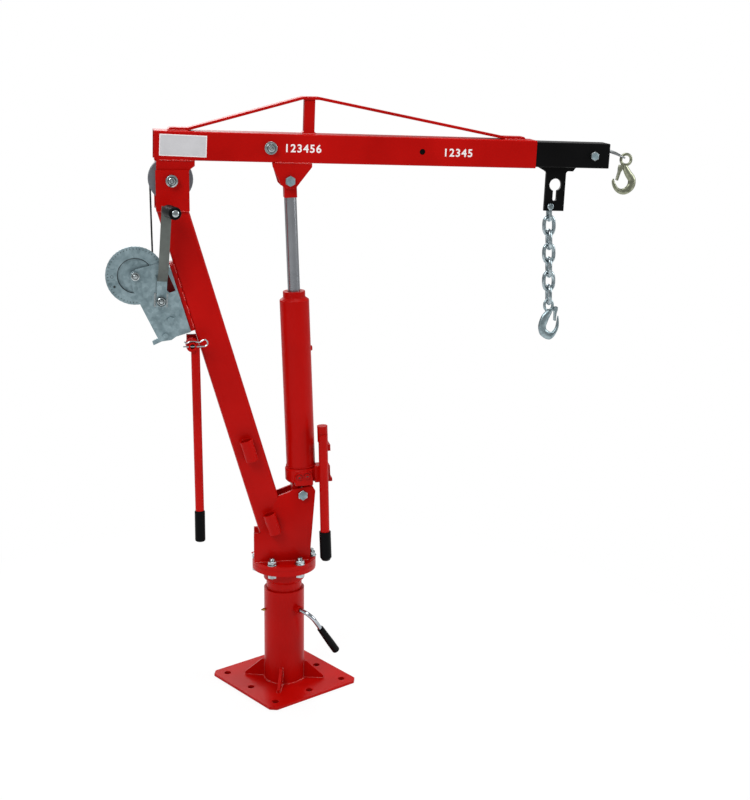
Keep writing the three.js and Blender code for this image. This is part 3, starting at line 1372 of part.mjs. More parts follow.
// Pump handle: bar, socket behind its top end, and a fork that straddles the fulcrum
function makePumpHandle() {
  const { x, y } = pumpBar;
  const rod = bar([x - pumpBar.drift, y, pumpBar.foot], [x, y, pumpBar.top], pumpBar.radius, sides.medium);
  const cap = bar(
    [x, pumpBar.capY, pumpBar.capFoot], [x, pumpBar.capY, pumpBar.capTop], pumpBar.capRadius, sides.medium,
  );
  const half = fulcrum.head;
  const inner = fulcrum.halfX + gap;
  const outer = inner + fulcrum.cheek;
  const low = fulcrum.along - half;
  const high = fulcrum.along + half;
  const rear = fulcrum.y + half;
  const cheeks = [-1, 1].map((hand) => {
    const a = fulcrum.x + hand * inner;
    const b = fulcrum.x + hand * outer;
    return block(Math.min(a, b), Math.max(a, b), y, rear, low, high);
  });
  const web = block(fulcrum.x - outer, fulcrum.x + outer, y, y + pumpBar.radius + overrun, low, high);
  const hole = bar(
    [0, fulcrum.y, fulcrum.along], [x + boom.size, fulcrum.y, fulcrum.along], fulcrum.pinRadius + gap,
    sides.small,
  );
  return cut(join(rod, cap, web, ...cheeks), hole);
}

function makePumpGrip() {
  const { y, foot, gripFoot, gripRadius } = pumpBar;
  const x = pumpBar.x - pumpBar.drift;
  const tip = gripFoot + gripRadius / 2;
  return join(
    bar([x, y, foot - gap], [x, y, tip], gripRadius, sides.medium),
    bar([x, y, tip + weldLap], [x, y, gripFoot], gripRadius, sides.medium, gripRadius * 0.7),
  );
}

// Assembly
add(crane, 'base_plate', makeBasePlate(), finish.redPaint);
add(crane, 'base_post', makePost(), finish.redPaint);
add(crane, 'lock_lever', makeLockScrew(), finish.steel);
add(crane, 'lock_lever_grip', makeLockGrip(), finish.rubber);
add(crane, 'grease_nipple', makeNipple(), finish.brass);
add(crane, 'spindle', makeSpindle(), finish.redPaint);
add(crane, 'upper_flange', makeUpperFlange(), finish.redPaint);
add(crane, 'mast', makeMast(), finish.redPaint);
add(crane, 'foot_ear_front', makeEar(-1), finish.redPaint);
add(crane, 'foot_ear_rear', makeEar(1), finish.redPaint);
add(mastFrame, 'handle_tube_upper', makeHandleTube(handleTube.upperAlong), finish.redPaint);
add(mastFrame, 'handle_tube_lower', makeHandleTube(handleTube.lowerAlong), finish.redPaint);
add(mastFrame, 'winch_frame', makeWinchFrame(), finish.zinc);
add(mastFrame, 'drum_axle', makeDrumAxle(), finish.zinc);
add(mastFrame, 'winch_drum', makeDrum(), finish.zinc);
add(mastFrame, 'drum_gear', makeGear(), finish.zinc);
add(mastFrame, 'pinion_shaft', makePinion(), finish.zinc);
add(mastFrame, 'crank_arm', makeCrankArm(), finish.zinc);
add(mastFrame, 'crank_grip', makeCrankGrip(), finish.rubber);
add(mastFrame, 'ratchet_pawl', makePawl(), finish.zinc);
add(crane, 'rope_winding', makeWinding(), finish.wire);
add(crane, 'rope_run', makeRopeRun(), finish.wire);
add(crane, 'steering_stub', makeStub(), finish.redPaint);
add(crane, 'steering_clip', makeClip(), finish.zinc);
add(crane, 'steering_handle', makeSteerHandle(), finish.redPaint);
add(crane, 'steering_grip', makeSteerGrip(), finish.rubber);
add(crane, 'boom_pivot_bolt', makePivotBolt(), finish.zinc);
add(crane, 'head_pulley', makePulley(), finish.zinc);
add(crane, 'jack_foot_bolt', makeFootBolt(), finish.zinc);
add(boomFrame, 'boom_tube', makeBoomTube(), finish.redPaint);
add(boomFrame, 'jack_bracket_front', makeBracket(-1), finish.redPaint);
add(boomFrame, 'jack_bracket_rear', makeBracket(1), finish.redPaint);
add(boomFrame, 'truss_strap', makeTruss(), finish.redPaint);
add(boomFrame, 'truss_strut', makeStrut(), finish.redPaint);
add(boomFrame, 'extension_bolt', makeLockBolt(), finish.zinc);
add(boomFrame, 'jack_head_bolt', makeHeadBolt(), finish.zinc);
add(boomFrame, 'rope_in_boom', makeRopeInBoom(), finish.wire);
add(boomFrame, 'extension_tube', makeExtension(), finish.blackPaint);
add(boomFrame, 'hanger_plate', makeHanger(), finish.blackPaint);
add(boomFrame, 'tip_roller', makeRoller(), finish.zinc);
add(boomFrame, 'roller_bolt', makeRollerBolt(), finish.zinc);
add(boomFrame, 'rope_end', makeRopeEnd(), finish.wire);
add(chainFrame, 'shackle', makeShackle(), finish.zinc);
for (let i = 0; i < link.count; i += 1) add(chainFrame, `chain_link_${i + 1}`, makeLink(i), finish.zinc);

const chainHookFrame = new THREE.Group();
const lastWire = linkCentre(link.count - 1) - link.straight / 2 - link.bend;
const chainHookEye = chainHook.eyeBend + chainHook.eyeStraight / 2;
chainHookFrame.position.z = lastWire + link.wire + chainHook.eyeWire + hangGap - chainHookEye;
chainFrame.add(chainHookFrame);
add(chainHookFrame, 'chain_hook', makeHook(chainHook, chainHookShares), finish.zinc);
add(chainHookFrame, 'chain_hook_latch', makeHookLatch(chainHook, chainHookShares), finish.zinc);

const ropeHookFrame = new THREE.Group();
ropeHookFrame.position.set(ropeHook.eyeX, 0, ropeHook.eyeZ);
crane.add(ropeHookFrame);
add(ropeHookFrame, 'rope_hook', makeHook(ropeHook, ropeHookShares), finish.olive);
add(ropeHookFrame, 'rope_hook_latch', makeHookLatch(ropeHook, ropeHookShares), finish.zinc);

add(jackFrame, 'jack_ram', makeRam(), finish.steel);
add(jackFrame, 'jack_barrel', makeBarrel(), finish.redPaint);
add(jackFrame, 'jack_base', makeJackBase(), finish.redPaint);
add(jackFrame, 'release_valve', makeValveScrew(), finish.redPaint);
add(jackFrame, 'pump_plunger', makePlunger(), finish.steel);
add(jackFrame, 'pump_handle', makePumpHandle(), finish.redPaint);
add(jackFrame, 'pump_grip', makePumpGrip(), finish.rubber);

export default crane;
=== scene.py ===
import json
import math
import random

import bmesh
import bpy
from mathutils import Matrix, Vector


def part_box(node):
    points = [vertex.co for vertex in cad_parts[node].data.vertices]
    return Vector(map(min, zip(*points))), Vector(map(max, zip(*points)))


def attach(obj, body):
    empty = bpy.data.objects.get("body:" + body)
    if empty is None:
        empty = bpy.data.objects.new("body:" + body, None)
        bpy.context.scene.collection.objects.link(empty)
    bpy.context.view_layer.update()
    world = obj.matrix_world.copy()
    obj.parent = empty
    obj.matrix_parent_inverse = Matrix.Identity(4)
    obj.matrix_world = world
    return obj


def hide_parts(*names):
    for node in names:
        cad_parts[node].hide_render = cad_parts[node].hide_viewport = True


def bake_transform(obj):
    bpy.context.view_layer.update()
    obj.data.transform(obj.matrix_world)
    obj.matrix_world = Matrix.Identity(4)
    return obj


# Looks of the pickup truck crane: painted steel, zinc-plated winch, chain and hooks around the loaded frame
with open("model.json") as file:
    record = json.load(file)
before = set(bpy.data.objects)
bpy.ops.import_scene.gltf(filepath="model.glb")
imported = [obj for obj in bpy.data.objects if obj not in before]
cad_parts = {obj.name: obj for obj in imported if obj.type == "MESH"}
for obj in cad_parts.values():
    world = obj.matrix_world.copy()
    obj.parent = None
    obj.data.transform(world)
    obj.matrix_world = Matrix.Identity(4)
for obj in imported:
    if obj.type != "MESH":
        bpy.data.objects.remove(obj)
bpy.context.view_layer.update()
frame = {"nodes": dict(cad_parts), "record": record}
nodes = frame["nodes"]
mm = 0.001
bodyOf = {}
for bodyName, members in frame["record"]["behaviour"]["bodies"].items():
    for member in members:
        bodyOf[member] = bodyName
slotOf = {part["node"]: part["material_slot"] for part in frame["record"]["subparts"]}
print("frame loaded:", len(nodes), "nodes")

# Places in mm that several pieces share, as x and z in the ground's frame or the column's
groundPlaces = {"boomPivot": (-235, 1142), "jackFoot": (37, 452), "columnFoot": (-149.6, 794)}
columnPlaces = {"drumAxle": (-114.9, 192.6), "crankHub": (-79.7, 129.2)}
plateYaw = math.radians(28.6)

# Camera at the photograph's viewing angle
photoCamera = {
    "place": (-0.41827, -3.01365, 1.45891),
    "yaw": math.radians(11.656),
    "down": math.radians(14.681),
    "roll": math.radians(0.837),
    "focalPixels": 1437.92,
    "imageHeight": 800,
    "sensor": 36,
}


def addCamera():
    yaw, down, roll = photoCamera["yaw"], photoCamera["down"], photoCamera["roll"]
    forward = Vector((math.sin(yaw) * math.cos(down), math.cos(yaw) * math.cos(down), -math.sin(down)))
    level = Vector((math.cos(yaw), -math.sin(yaw), 0))
    upright = level.cross(forward)
    sideways = level * math.cos(roll) + upright * math.sin(roll)
    upward = upright * math.cos(roll) - level * math.sin(roll)
    turn = Matrix((sideways, upward, -forward)).transposed().to_4x4()
    lens = bpy.data.cameras.new("photoCamera")
    lens.sensor_width = photoCamera["sensor"]
    lens.lens = photoCamera["focalPixels"] * photoCamera["sensor"] / photoCamera["imageHeight"]
    lens.clip_end = 1000
    camera = bpy.data.objects.new("photoCamera", lens)
    bpy.context.scene.collection.objects.link(camera)
    camera.matrix_world = Matrix.Translation(photoCamera["place"]) @ turn
    bpy.context.scene.camera = camera


addCamera()

# Tilted frames of the column, the boom and the jack, as in the CAD, in metres
columnTilt = math.radians(16.3)
boomDroop = math.radians(1.55)
jackLean = math.radians(2.2501)
jackOffset = 3.2


def tiltedFrame(x, z, angle):
    return Matrix.Translation((x * mm, 0, z * mm)) @ Matrix.Rotation(angle, 4, "Y")


columnFrame = tiltedFrame(*groundPlaces["columnFoot"], -columnTilt)
boomFrame = tiltedFrame(*groundPlaces["boomPivot"], boomDroop)
jackFrame = tiltedFrame(*groundPlaces["jackFoot"], -jackLean) @ Matrix.Translation((jackOffset * mm, 0, 0))
groundFrame = Matrix.Identity(4)


def shift(x, y, z):
    return Matrix.Translation((x * mm, y * mm, z * mm))


def spot(place, x, y, z):
    return place @ Vector((x * mm, y * mm, z * mm))


# A place in mm whose up points out of the crane's face, for bolts and print on it
def outwardAt(x, y, z):
    return shift(x, y, z) @ Matrix.Rotation(math.pi / 2, 4, "X")


boomHead = spot(boomFrame, 245, 0, 3.6)  # where the jack's head bolt crosses the boom's brackets
crankLean = math.radians(4.1)  # the crank's arm from upright


# Colours are sRGB hex values; this turns one to the linear colour that nodes use
def linear(hexCode):
    channels = [int(hexCode[i:i + 2], 16) / 255 for i in (0, 2, 4)]
    return tuple(c / 12.92 if c <= 0.04045 else ((c + 0.055) / 1.055) ** 2.4 for c in channels) + (1,)


def addNode(tree, kind, values=None, links=None, ramp=None, **settings):
    node = tree.nodes.new(kind)
    for name, value in settings.items():
        setattr(node, name, value)
    for name, value in (values or {}).items():
        node.inputs[name].default_value = value
    for name, source in (links or {}).items():
        tree.links.new(source, node.inputs[name])
    if ramp:
        stops = node.color_ramp.elements
        while len(stops) < len(ramp):
            stops.new(0.5)
        for stop, (position, colour) in zip(stops, ramp):
            stop.position = position
            stop.color = colour
    return node


def newMaterial(name):
    material = bpy.data.materials.new(name)
    material.use_nodes = True
    material.node_tree.nodes.clear()
    return material, material.node_tree


def grey(value):
    return (value, value, value, 1)


# Sizes in a pattern are real ones in millimetres
def patternScale(size):
    return 1 / (size * mm)



# Sprayed and baked enamel on steel: an even colour, a faint orange peel, thin cloudy changes of gloss
def makeEnamel(name, look):
    material, tree = newMaterial(name)
    place = {"Vector": addNode(tree, "ShaderNodeTexCoord").outputs["Object"]}
    cloud = addNode(tree, "ShaderNodeTexNoise", {"Scale": patternScale(look["cloud"]), "Detail": 3}, place)
    colour = addNode(
        tree, "ShaderNodeValToRGB", links={"Fac": cloud.outputs["Fac"]},
        ramp=[(0.3, linear(look["dark"])), (0.7, linear(look["light"]))],
    )
    gloss = addNode(
        tree, "ShaderNodeValToRGB", links={"Fac": cloud.outputs["Fac"]},
        ramp=[(0.3, grey(look["gloss"])), (0.75, grey(look["dull"]))],
    )
    peel = addNode(tree, "ShaderNodeTexNoise", {"Scale": patternScale(look["peel"]), "Detail": 2}, place)
    grit = addNode(tree, "ShaderNodeTexNoise", {"Scale": patternScale(look["grit"]), "Detail": 4}, place)
    waves = addNode(
        tree, "ShaderNodeBump", {"Strength": look["wave"], "Distance": 1 * mm},
        {"Height": peel.outputs["Fac"]},
    )
    bump = addNode(
        tree, "ShaderNodeBump", {"Strength": look["rough"], "Distance": 0.3 * mm},
        {"Height": grit.outputs["Fac"], "Normal": waves.outputs["Normal"]},
    )
    values = {
        "IOR": 1.5, "Specular IOR Level": look["specular"], "Coat Weight": look["coat"],
        "Coat Roughness": 0.12,
    }
    links = {
        "Base Color": colour.outputs["Color"], "Roughness": gloss.outputs["Color"],
        "Normal": bump.outputs["Normal"],
    }
    shader = addNode(tree, "ShaderNodeBsdfPrincipled", values, links)
    addNode(tree, "ShaderNodeOutputMaterial", links={"Surface": shader.outputs["BSDF"]})
    return material


# Zinc on steel: spangles or cloudy patches in a bluish grey, fine scratches, worn brighter in places
def makeZinc(name, look):
    material, tree = newMaterial(name)
    place = {"Vector": addNode(tree, "ShaderNodeTexCoord").outputs["Object"]}
    spangle = addNode(
        tree, "ShaderNodeTexVoronoi", {"Scale": patternScale(look["spangle"]), "Randomness": 1}, place,
    )
    cloud = addNode(
        tree, "ShaderNodeTexNoise",
        {"Scale": patternScale(look["cloud"]), "Detail": 6, "Roughness": 0.6}, place,
    )
    patch = addNode(
        tree, "ShaderNodeMath", {1: look["spangleShare"]},
        {0: spangle.outputs["Color"], 2: cloud.outputs["Fac"]}, operation="MULTIPLY_ADD",
    )
    low, high = 0.3, min(0.7 + look["spangleShare"], 1)
    colour = addNode(
        tree, "ShaderNodeValToRGB", links={"Fac": patch.outputs["Value"]},
        ramp=[(low, linear(look["dark"])), (high, linear(look["light"]))],
    )
    gloss = addNode(
        tree, "ShaderNodeValToRGB", links={"Fac": patch.outputs["Value"]},
        ramp=[(low, grey(look["dull"])), (high, grey(look["gloss"]))],
    )
    scratch = addNode(
        tree, "ShaderNodeTexNoise", {"Scale": patternScale(look["scratch"]), "Detail": 5}, place,
    )
    bump = addNode(
        tree, "ShaderNodeBump", {"Strength": look["rough"], "Distance": 0.2 * mm},
        {"Height": scratch.outputs["Fac"]},
    )
    links = {
        "Base Color": colour.outputs["Color"], "Roughness": gloss.outputs["Color"],
        "Normal": bump.outputs["Normal"],
    }
    shader = addNode(tree, "ShaderNodeBsdfPrincipled", {"Metallic": look["metal"]}, links)
    addNode(tree, "ShaderNodeOutputMaterial", links={"Surface": shader.outputs["BSDF"]})
    return material


# Moulded soft vinyl: nearly black, low sheen, a fine matt grain
def makeVinyl(name, look):
    material, tree = newMaterial(name)
    place = {"Vector": addNode(tree, "ShaderNodeTexCoord").outputs["Object"]}
    grain = addNode(tree, "ShaderNodeTexNoise", {"Scale": patternScale(look["grain"]), "Detail": 3}, place)
    colour = addNode(
        tree, "ShaderNodeValToRGB", links={"Fac": grain.outputs["Fac"]},
        ramp=[(0.3, linear(look["dark"])), (0.7, linear(look["light"]))],
    )
    bump = addNode(
        tree, "ShaderNodeBump", {"Strength": look["rough"], "Distance": 0.2 * mm},
        {"Height": grain.outputs["Fac"]},
    )
    shader = addNode(
        tree, "ShaderNodeBsdfPrincipled",
        {"IOR": 1.5, "Roughness": look["dull"], "Specular IOR Level": look["specular"]},
        {"Base Color": colour.outputs["Color"], "Normal": bump.outputs["Normal"]},
    )
    addNode(tree, "ShaderNodeOutputMaterial", links={"Surface": shader.outputs["BSDF"]})
    return material


# Enamels. Sizes of cloud, peel and grit in mm; the peel is drawn coarse so that it shows at all
enamelLook = {
    "dark": "A00401", "light": "B20804", "cloud": 140, "gloss": 0.3, "dull": 0.38, "peel": 7, "grit": 1.6,
    "wave": 0.05, "rough": 0.05, "specular": 0.08, "coat": 0.01,
}
# Signal red, even and soft in its gloss
redEnamel = makeEnamel("redBakedEnamel", enamelLook)
# The same paint pooled over weld ripples, glossier so that they catch the light, in a lighter red as a
# painted highlight
litWeldEnamel = makeEnamel("redEnamelOverWeldPaintedHighlight", {
    **enamelLook, "light": "C2160F", "gloss": 0.16, "dull": 0.26, "specular": 0.5, "coat": 0.2,
})
# Red paint darkened as painted shade, for a recess, a groove or a part in shadow: darker and pitted
shadedRedEnamel = makeEnamel("redEnamelPaintedShadePitted", {
    **enamelLook, "dark": "5E1010", "light": "8E2020", "rough": 0.5, "cloud": 8,
})
# Flat black of the inner boom and its hanger
blackEnamel = makeEnamel("blackBakedEnamel", {
    **enamelLook, "dark": "060606", "light": "0A0A0B", "dull": 0.4, "coat": 0,
})

# Zincs and bare metals. Sizes of cloud, spangle and scratch in mm
zincLook = {
    "dark": "5F7379", "light": "A3B9C0", "cloud": 24, "spangle": 8, "spangleShare": 0.28, "dull": 0.52,
    "gloss": 0.34, "scratch": 1.2, "rough": 0.12, "metal": 0.75,
}
plainLook = {**zincLook, "spangleShare": 0}
# Winch plates: bluish grey with the cloudy spangle of a hot dip
galvanisedSheet = makeZinc("hotDipGalvanisedSheet", zincLook)
# Crank's arm: a duller and warmer grey with hardly any spangle, darker than the sheet zinc as painted shade
# on the arm above its bend
crankShadedZinc = makeZinc("shadedDullZincFlatBar", {
    **zincLook, "dark": "565A57", "light": "747A76", "cloud": 60, "spangleShare": 0.03, "dull": 0.6,
    "gloss": 0.45,
})
# Bolts and nuts: bright, with small glints
brightZinc = makeZinc("brightZincFastener", {
    **zincLook, "dark": "7E898C", "light": "C9D1D3", "cloud": 8, "spangle": 3, "dull": 0.3, "gloss": 0.16,
    "metal": 1,
})
# Chain: bluish, strong change from dark to bright round each link
chainZinc = makeZinc("bluishZincChain", {
    **zincLook, "dark": "4C5C62", "light": "C6D6DB", "cloud": 7, "spangle": 4, "dull": 0.34, "gloss": 0.16,
    "metal": 1,
})
# Chain's hook: forged skin under zinc, softer than the chain
forgedZinc = makeZinc("forgedZincHook", {
    **zincLook, "dark": "62747A", "light": "A4B4B8", "cloud": 16, "spangle": 5, "dull": 0.42,
    "gloss": 0.25, "metal": 1,
})
# Rope's hook: yellow passivated zinc, greenish grey to straw
yellowZinc = makeZinc("forgedYellowZincHook", {
    **zincLook, "dark": "575C49", "light": "ABAF99", "cloud": 18, "spangle": 5, "dull": 0.4, "gloss": 0.24,
    "metal": 0.9,
})
# Head pulley: turned steel, plain grey
pulleySteel = makeZinc("turnedGreySteel", {
    **zincLook, "dark": "62666C", "light": "8C9097", "cloud": 50, "spangleShare": 0.02, "metal": 0.6,
})
# Jack's ram: ground and chromed, soft reflections
groundRod = makeZinc("groundChromedRod", {
    **plainLook, "dark": "888B90", "light": "A9ACB1", "cloud": 120, "dull": 0.3, "gloss": 0.2, "rough": 0.03,
    "metal": 1,
})
# Lock lever: polished chrome, clear reflections
polishedRod = makeZinc("polishedChromedRod", {
    **plainLook, "dark": "8E959C", "light": "BCC3CA", "cloud": 40, "dull": 0.2, "gloss": 0.1, "rough": 0.02,
    "metal": 1,
})
# Grease nipple: turned brass, yellow and lightly worn
greaseBrass = makeZinc("turnedBrass", {
    **plainLook, "dark": "8A7330", "light": "C0A352", "cloud": 6, "dull": 0.35, "gloss": 0.22, "metal": 1,
})
# Rope in its run: nearly black with oil, a few grey glints
darkWire = makeZinc("oiledSteelWire", {
    **plainLook, "dark": "0E1011", "light": "25292A", "cloud": 10, "dull": 0.5, "gloss": 0.35, "metal": 0.7,
})
# Rope at its hook: bare drawn wire, light grey
loopWire = makeZinc("bareSteelWire", {
    **plainLook, "dark": "5B5E60", "light": "A5A9AB", "cloud": 6, "dull": 0.45, "gloss": 0.3, "metal": 0.9,
})
# Label: thin matt aluminium foil, pale silver
labelFoil = makeZinc("silverLabelFoil", {
    **plainLook, "dark": "BDBDC0", "light": "C9C9CC", "cloud": 50, "dull": 0.5, "gloss": 0.42, "rough": 0.02,
    "metal": 0.1,
})
# Recesses of fasteners and punched slots: dark grey steel as painted shade
recessShadeSteel = makeZinc("paintedShadeFastenerRecess", {
    **plainLook, "dark": "23282A", "light": "4A5254", "cloud": 6, "dull": 0.5, "gloss": 0.35, "metal": 0.8,
})
# Hand grips: black vinyl with hardly any sheen
gripVinyl = makeVinyl("blackMouldedVinyl", {
    "dark": "050506", "light": "0B0B0D", "grain": 1.2, "rough": 0.2, "dull": 0.42, "specular": 0.05,
})
# Numbers and the label's edge: white screen ink
printWhite = makeVinyl("whiteScreenPrint", {
    "dark": "E6E0E0", "light": "F2EEEE", "grain": 3, "rough": 0.03, "dull": 0.5, "specular": 0.3,
})
slotMaterial = {
    "red_paint": redEnamel, "black_paint": blackEnamel, "zinc_plate": brightZinc,
    "galvanised": galvanisedSheet,
    "steel": groundRod, "chrome": polishedRod, "brass": greaseBrass, "black_grip": gripVinyl,
    "wire_rope": darkWire, "yellow_zinc": yellowZinc,
}
print("materials ready")


# Everything is deselected, then one object is picked and made active
def pick(piece):
    bpy.ops.object.select_all(action="DESELECT")
    piece.select_set(True)
    bpy.context.view_layer.objects.active = piece


def joinPieces(pieces):
    pick(pieces[0])
    for piece in pieces:
        piece.select_set(True)
    bpy.ops.object.join()
    return bpy.context.object


def editAll(piece):
    pick(piece)
    bpy.ops.object.mode_set(mode="EDIT")
    bpy.ops.mesh.select_all(action="SELECT")


def leaveEdit():
    bpy.ops.object.mode_set(mode="OBJECT")


def applyModifier(piece, kind, **settings):
    pick(piece)
    modifier = piece.modifiers.new(kind.lower(), kind)
    for name, value in settings.items():
        setattr(modifier, name, value)
    bpy.ops.object.modifier_apply(modifier=modifier.name)


def smoothShade(piece, angle=35):
    pick(piece)
    bpy.ops.object.shade_smooth_by_angle(angle=math.radians(angle))


def linkMesh(name, mesh):
    piece = bpy.data.objects.new(name, mesh)
    bpy.context.scene.collection.objects.link(piece)
    return piece


def linkForm(name, bm):
    mesh = bpy.data.meshes.new(name)
    bm.to_mesh(mesh)
    bm.free()
    return linkMesh(name, mesh)


# Another of a piece that is modelled once, with its own mesh
def copyPiece(piece, name):
    return linkMesh(name, piece.data.copy())


# A flat outline in mm (x, z) given thickness between two y places
def outlinePlate(outline, front, back):
    bm = bmesh.new()
    face = bm.faces.new([bm.verts.new((x * mm, front * mm, z * mm)) for x, z in outline])
    grown = bmesh.ops.extrude_face_region(bm, geom=[face])["geom"]
    corners = [item for item in grown if isinstance(item, bmesh.types.BMVert)]
    bmesh.ops.translate(bm, verts=corners, vec=(0, (back - front) * mm, 0))
    bmesh.ops.recalc_face_normals(bm, faces=bm.faces)
    return linkForm("outline", bm)


# A round or many-sided body in mm, from radii and heights along its axis
def turnedBody(name, profile, sides):
    bm = bmesh.new()
    rings = []
    turns = [2 * math.pi * k / sides for k in range(sides)]
    for radius, height in profile:
        corners = [(radius * math.cos(a) * mm, radius * math.sin(a) * mm, height * mm) for a in turns]
        rings.append([bm.verts.new(corner) for corner in corners])
    for low, high in zip(rings, rings[1:]):
        for k in range(sides):
            following = (k + 1) % sides
            bm.faces.new((low[k], low[following], high[following], high[k]))
    bm.faces.new(list(reversed(rings[0])))
    bm.faces.new(rings[-1])
    return linkForm(name, bm)


# A thin box in mm with its edges just broken
def makePlate(name, box, body, material, place):
    (x0, x1), (y0, y1), (z0, z1) = box
    bpy.ops.object.select_all(action="DESELECT")
    bpy.ops.mesh.primitive_cube_add(size=1)
    piece = bpy.context.object
    piece.scale = ((x1 - x0) * mm, (y1 - y0) * mm, (z1 - z0) * mm)
    piece.location = ((x0 + x1) / 2 * mm, (y0 + y1) / 2 * mm, (z0 + z1) / 2 * mm)
    bpy.ops.object.transform_apply(location=True, rotation=True, scale=True)
    applyModifier(piece, "BEVEL", width=min(0.1, (y1 - y0) / 4) * mm, segments=2)
    return finishPiece(piece, name, body, material, place)


def makeRing(radius, wire, segments, sides):
    bpy.ops.object.select_all(action="DESELECT")
    bpy.ops.mesh.primitive_torus_add(
        major_radius=radius * mm, minor_radius=wire * mm, major_segments=segments, minor_segments=sides,
    )
    ring = bpy.context.object
    smoothShade(ring, 180)
    return ring


# Places the piece by its mesh, names it, dresses it and lets it ride
def finishPiece(piece, name, body, material, place=groundFrame):
    pick(piece)
    bpy.ops.object.transform_apply(location=True, rotation=True, scale=True)
    piece.data.transform(place)
    piece.name = name
    piece.data.name = name
    piece.data.materials.clear()
    piece.data.materials.append(material)
    if body:
        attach(piece, body)
    return piece


# The piece takes the place of a CAD node, in that node's slot and on its body
def takeOver(piece, name, material, kind="_dressed", place=groundFrame):
    material = material or slotMaterial[slotOf[name]]
    finishPiece(piece, name + kind, bodyOf[name], material, place)
    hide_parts(name)
    return piece


# A CAD node's own form again, merged, with its edges broken as paint and handling leave them
def copyNode(name):
    piece = linkMesh(name + "_dressed", nodes[name].data.copy())
    editAll(piece)
    bpy.ops.mesh.remove_doubles(threshold=0.004 * mm)
    bpy.ops.mesh.dissolve_limited(angle_limit=math.radians(0.4))
    leaveEdit()
    return piece


def dressNode(name, edge, material=None, smooth=35, segments=2):
    piece = copyNode(name)
    if edge:
        applyModifier(
            piece, "BEVEL", width=edge * mm, segments=segments, limit_method="ANGLE",
            angle_limit=math.radians(34), use_clamp_overlap=True,
        )
    smoothShade(piece, smooth)
    if edge:
        applyModifier(piece, "WEIGHTED_NORMAL", keep_sharp=True)
    return takeOver(piece, name, material)


# Forged and cast pieces: the form remeshed fine and smoothed, so its edges run round
def castForm(piece, voxel, rounds):
    applyModifier(piece, "REMESH", mode="VOXEL", voxel_size=voxel * mm)
    applyModifier(piece, "SMOOTH", factor=0.5, iterations=rounds)
    smoothShade(piece, 180)


# Broken edge of each carried-over node in mm, and its own finish where the slot's is too plain
edges = {
    "base_plate": 1.0, "base_post": 0.7, "spindle": 1.6, "upper_flange": 2.2, "mast": 1.0,
    "foot_ear_front": 0.8, "foot_ear_rear": 0.8, "handle_tube_upper": 0.8, "handle_tube_lower": 0.8,
    "winch_frame": 1.1,
    "drum_axle": 0.6, "boom_pivot_bolt": 0.9, "jack_foot_bolt": 0.9, "steering_stub": 0.5, "steering_clip": 0,
    "winch_drum": 0.5, "drum_gear": 0.4, "pinion_shaft": 0.4, "crank_arm": 0.7, "ratchet_pawl": 0.5,
    "head_pulley": 0.8, "boom_tube": 0.9, "jack_bracket_front": 0.8, "jack_bracket_rear": 0.8,
    "truss_strap": 0.8, "truss_strut": 0.8, "extension_bolt": 0.8, "jack_head_bolt": 0.9, "rope_in_boom": 0,
    "extension_tube": 0.9, "hanger_plate": 0.8, "roller_bolt": 0.8, "tip_roller": 0.5, "lock_lever": 0.5,
    "lock_lever_grip": 1.2, "grease_nipple": 0.3, "steering_handle": 0.7, "steering_grip": 3.2,
    "jack_ram": 0.8, "jack_barrel": 1.2, "release_valve": 0.4, "pump_plunger": 0.4, "pump_handle": 1.2,
    "pump_grip": 3.6,
    "chain_hook_latch": 0.4, "rope_hook_latch": 0.4,
}
ownFinish = {
    "winch_frame": galvanisedSheet, "winch_drum": galvanisedSheet, "drum_gear": galvanisedSheet,
    "crank_arm": crankShadedZinc, "head_pulley": pulleySteel, "jack_ram": groundRod, "lock_lever": polishedRod,
    "shackle": chainZinc, "chain_hook": forgedZinc, "rope_hook": yellowZinc, "ratchet_pawl": galvanisedSheet,
    "rope_hook_latch": yellowZinc, "chain_hook_latch": forgedZinc,
}
for nodeName, edge in edges.items():
    dressNode(nodeName, edge, ownFinish.get(nodeName), segments=4 if edge > 2 else 2)
print("carried-over pieces dressed")

# Voxel in mm and rounds of smoothing
castings = {"shackle": (0.4, 10), "jack_base": (0.9, 8)}
for nodeName, (voxel, rounds) in castings.items():
    casting = copyNode(nodeName)
    castForm(casting, voxel, rounds)
    takeOver(casting, nodeName, ownFinish.get(nodeName))


# Points in mm of a smooth curve through all points: the same count in each span, or one for each step of way
def smoothRoute(points, step=None, count=None):
    route = [Vector(p) for p in points]
    ends = [route[0] * 2 - route[1]] + route + [route[-1] * 2 - route[-2]]
    out = []
    for a, b, c, d in zip(ends, ends[1:], ends[2:], ends[3:]):
        steps = count or max(1, round((c - b).length / step))
        for i in range(steps):
            t = i / steps
            straight = 2 * b + (c - a) * t
            bend = (2 * a - 5 * b + 4 * c - d) * t**2
            sway = (3 * b - a - 3 * c + d) * t**3
            out.append(0.5 * (straight + bend + sway))
    return out + [route[-1]]


# Body of round or oval section along a path in the piece's own X-Z plane; sizes in mm, half across and thick
def sweepBody(name, points, sizes, sides=24, closed=False):
    bm = bmesh.new()
    across = Vector((0, 1, 0))
    turns = [2 * math.pi * k / sides for k in range(sides)]
    rings = []
    count = len(points)
    for i, point in enumerate(points):
        before = points[(i - 1) % count] if closed else points[max(i - 1, 0)]
        after = points[(i + 1) % count] if closed else points[min(i + 1, count - 1)]
        out = (after - before).normalized().cross(across).normalized()
        wide, thick = sizes[i]
        section = [point + out * wide * math.cos(a) + across * thick * math.sin(a) for a in turns]
        rings.append([bm.verts.new(corner * mm) for corner in section])
    pairs = list(zip(rings, rings[1:])) + ([(rings[-1], rings[0])] if closed else [])
    for near, far in pairs:
        for k in range(sides):
            following = (k + 1) % sides
            bm.faces.new((near[k], far[k], far[following], near[following]))
    if not closed:
        bm.faces.new(rings[0])
        bm.faces.new(list(reversed(rings[-1])))
    bmesh.ops.recalc_face_normals(bm, faces=bm.faces)
    return linkForm(name, bm)


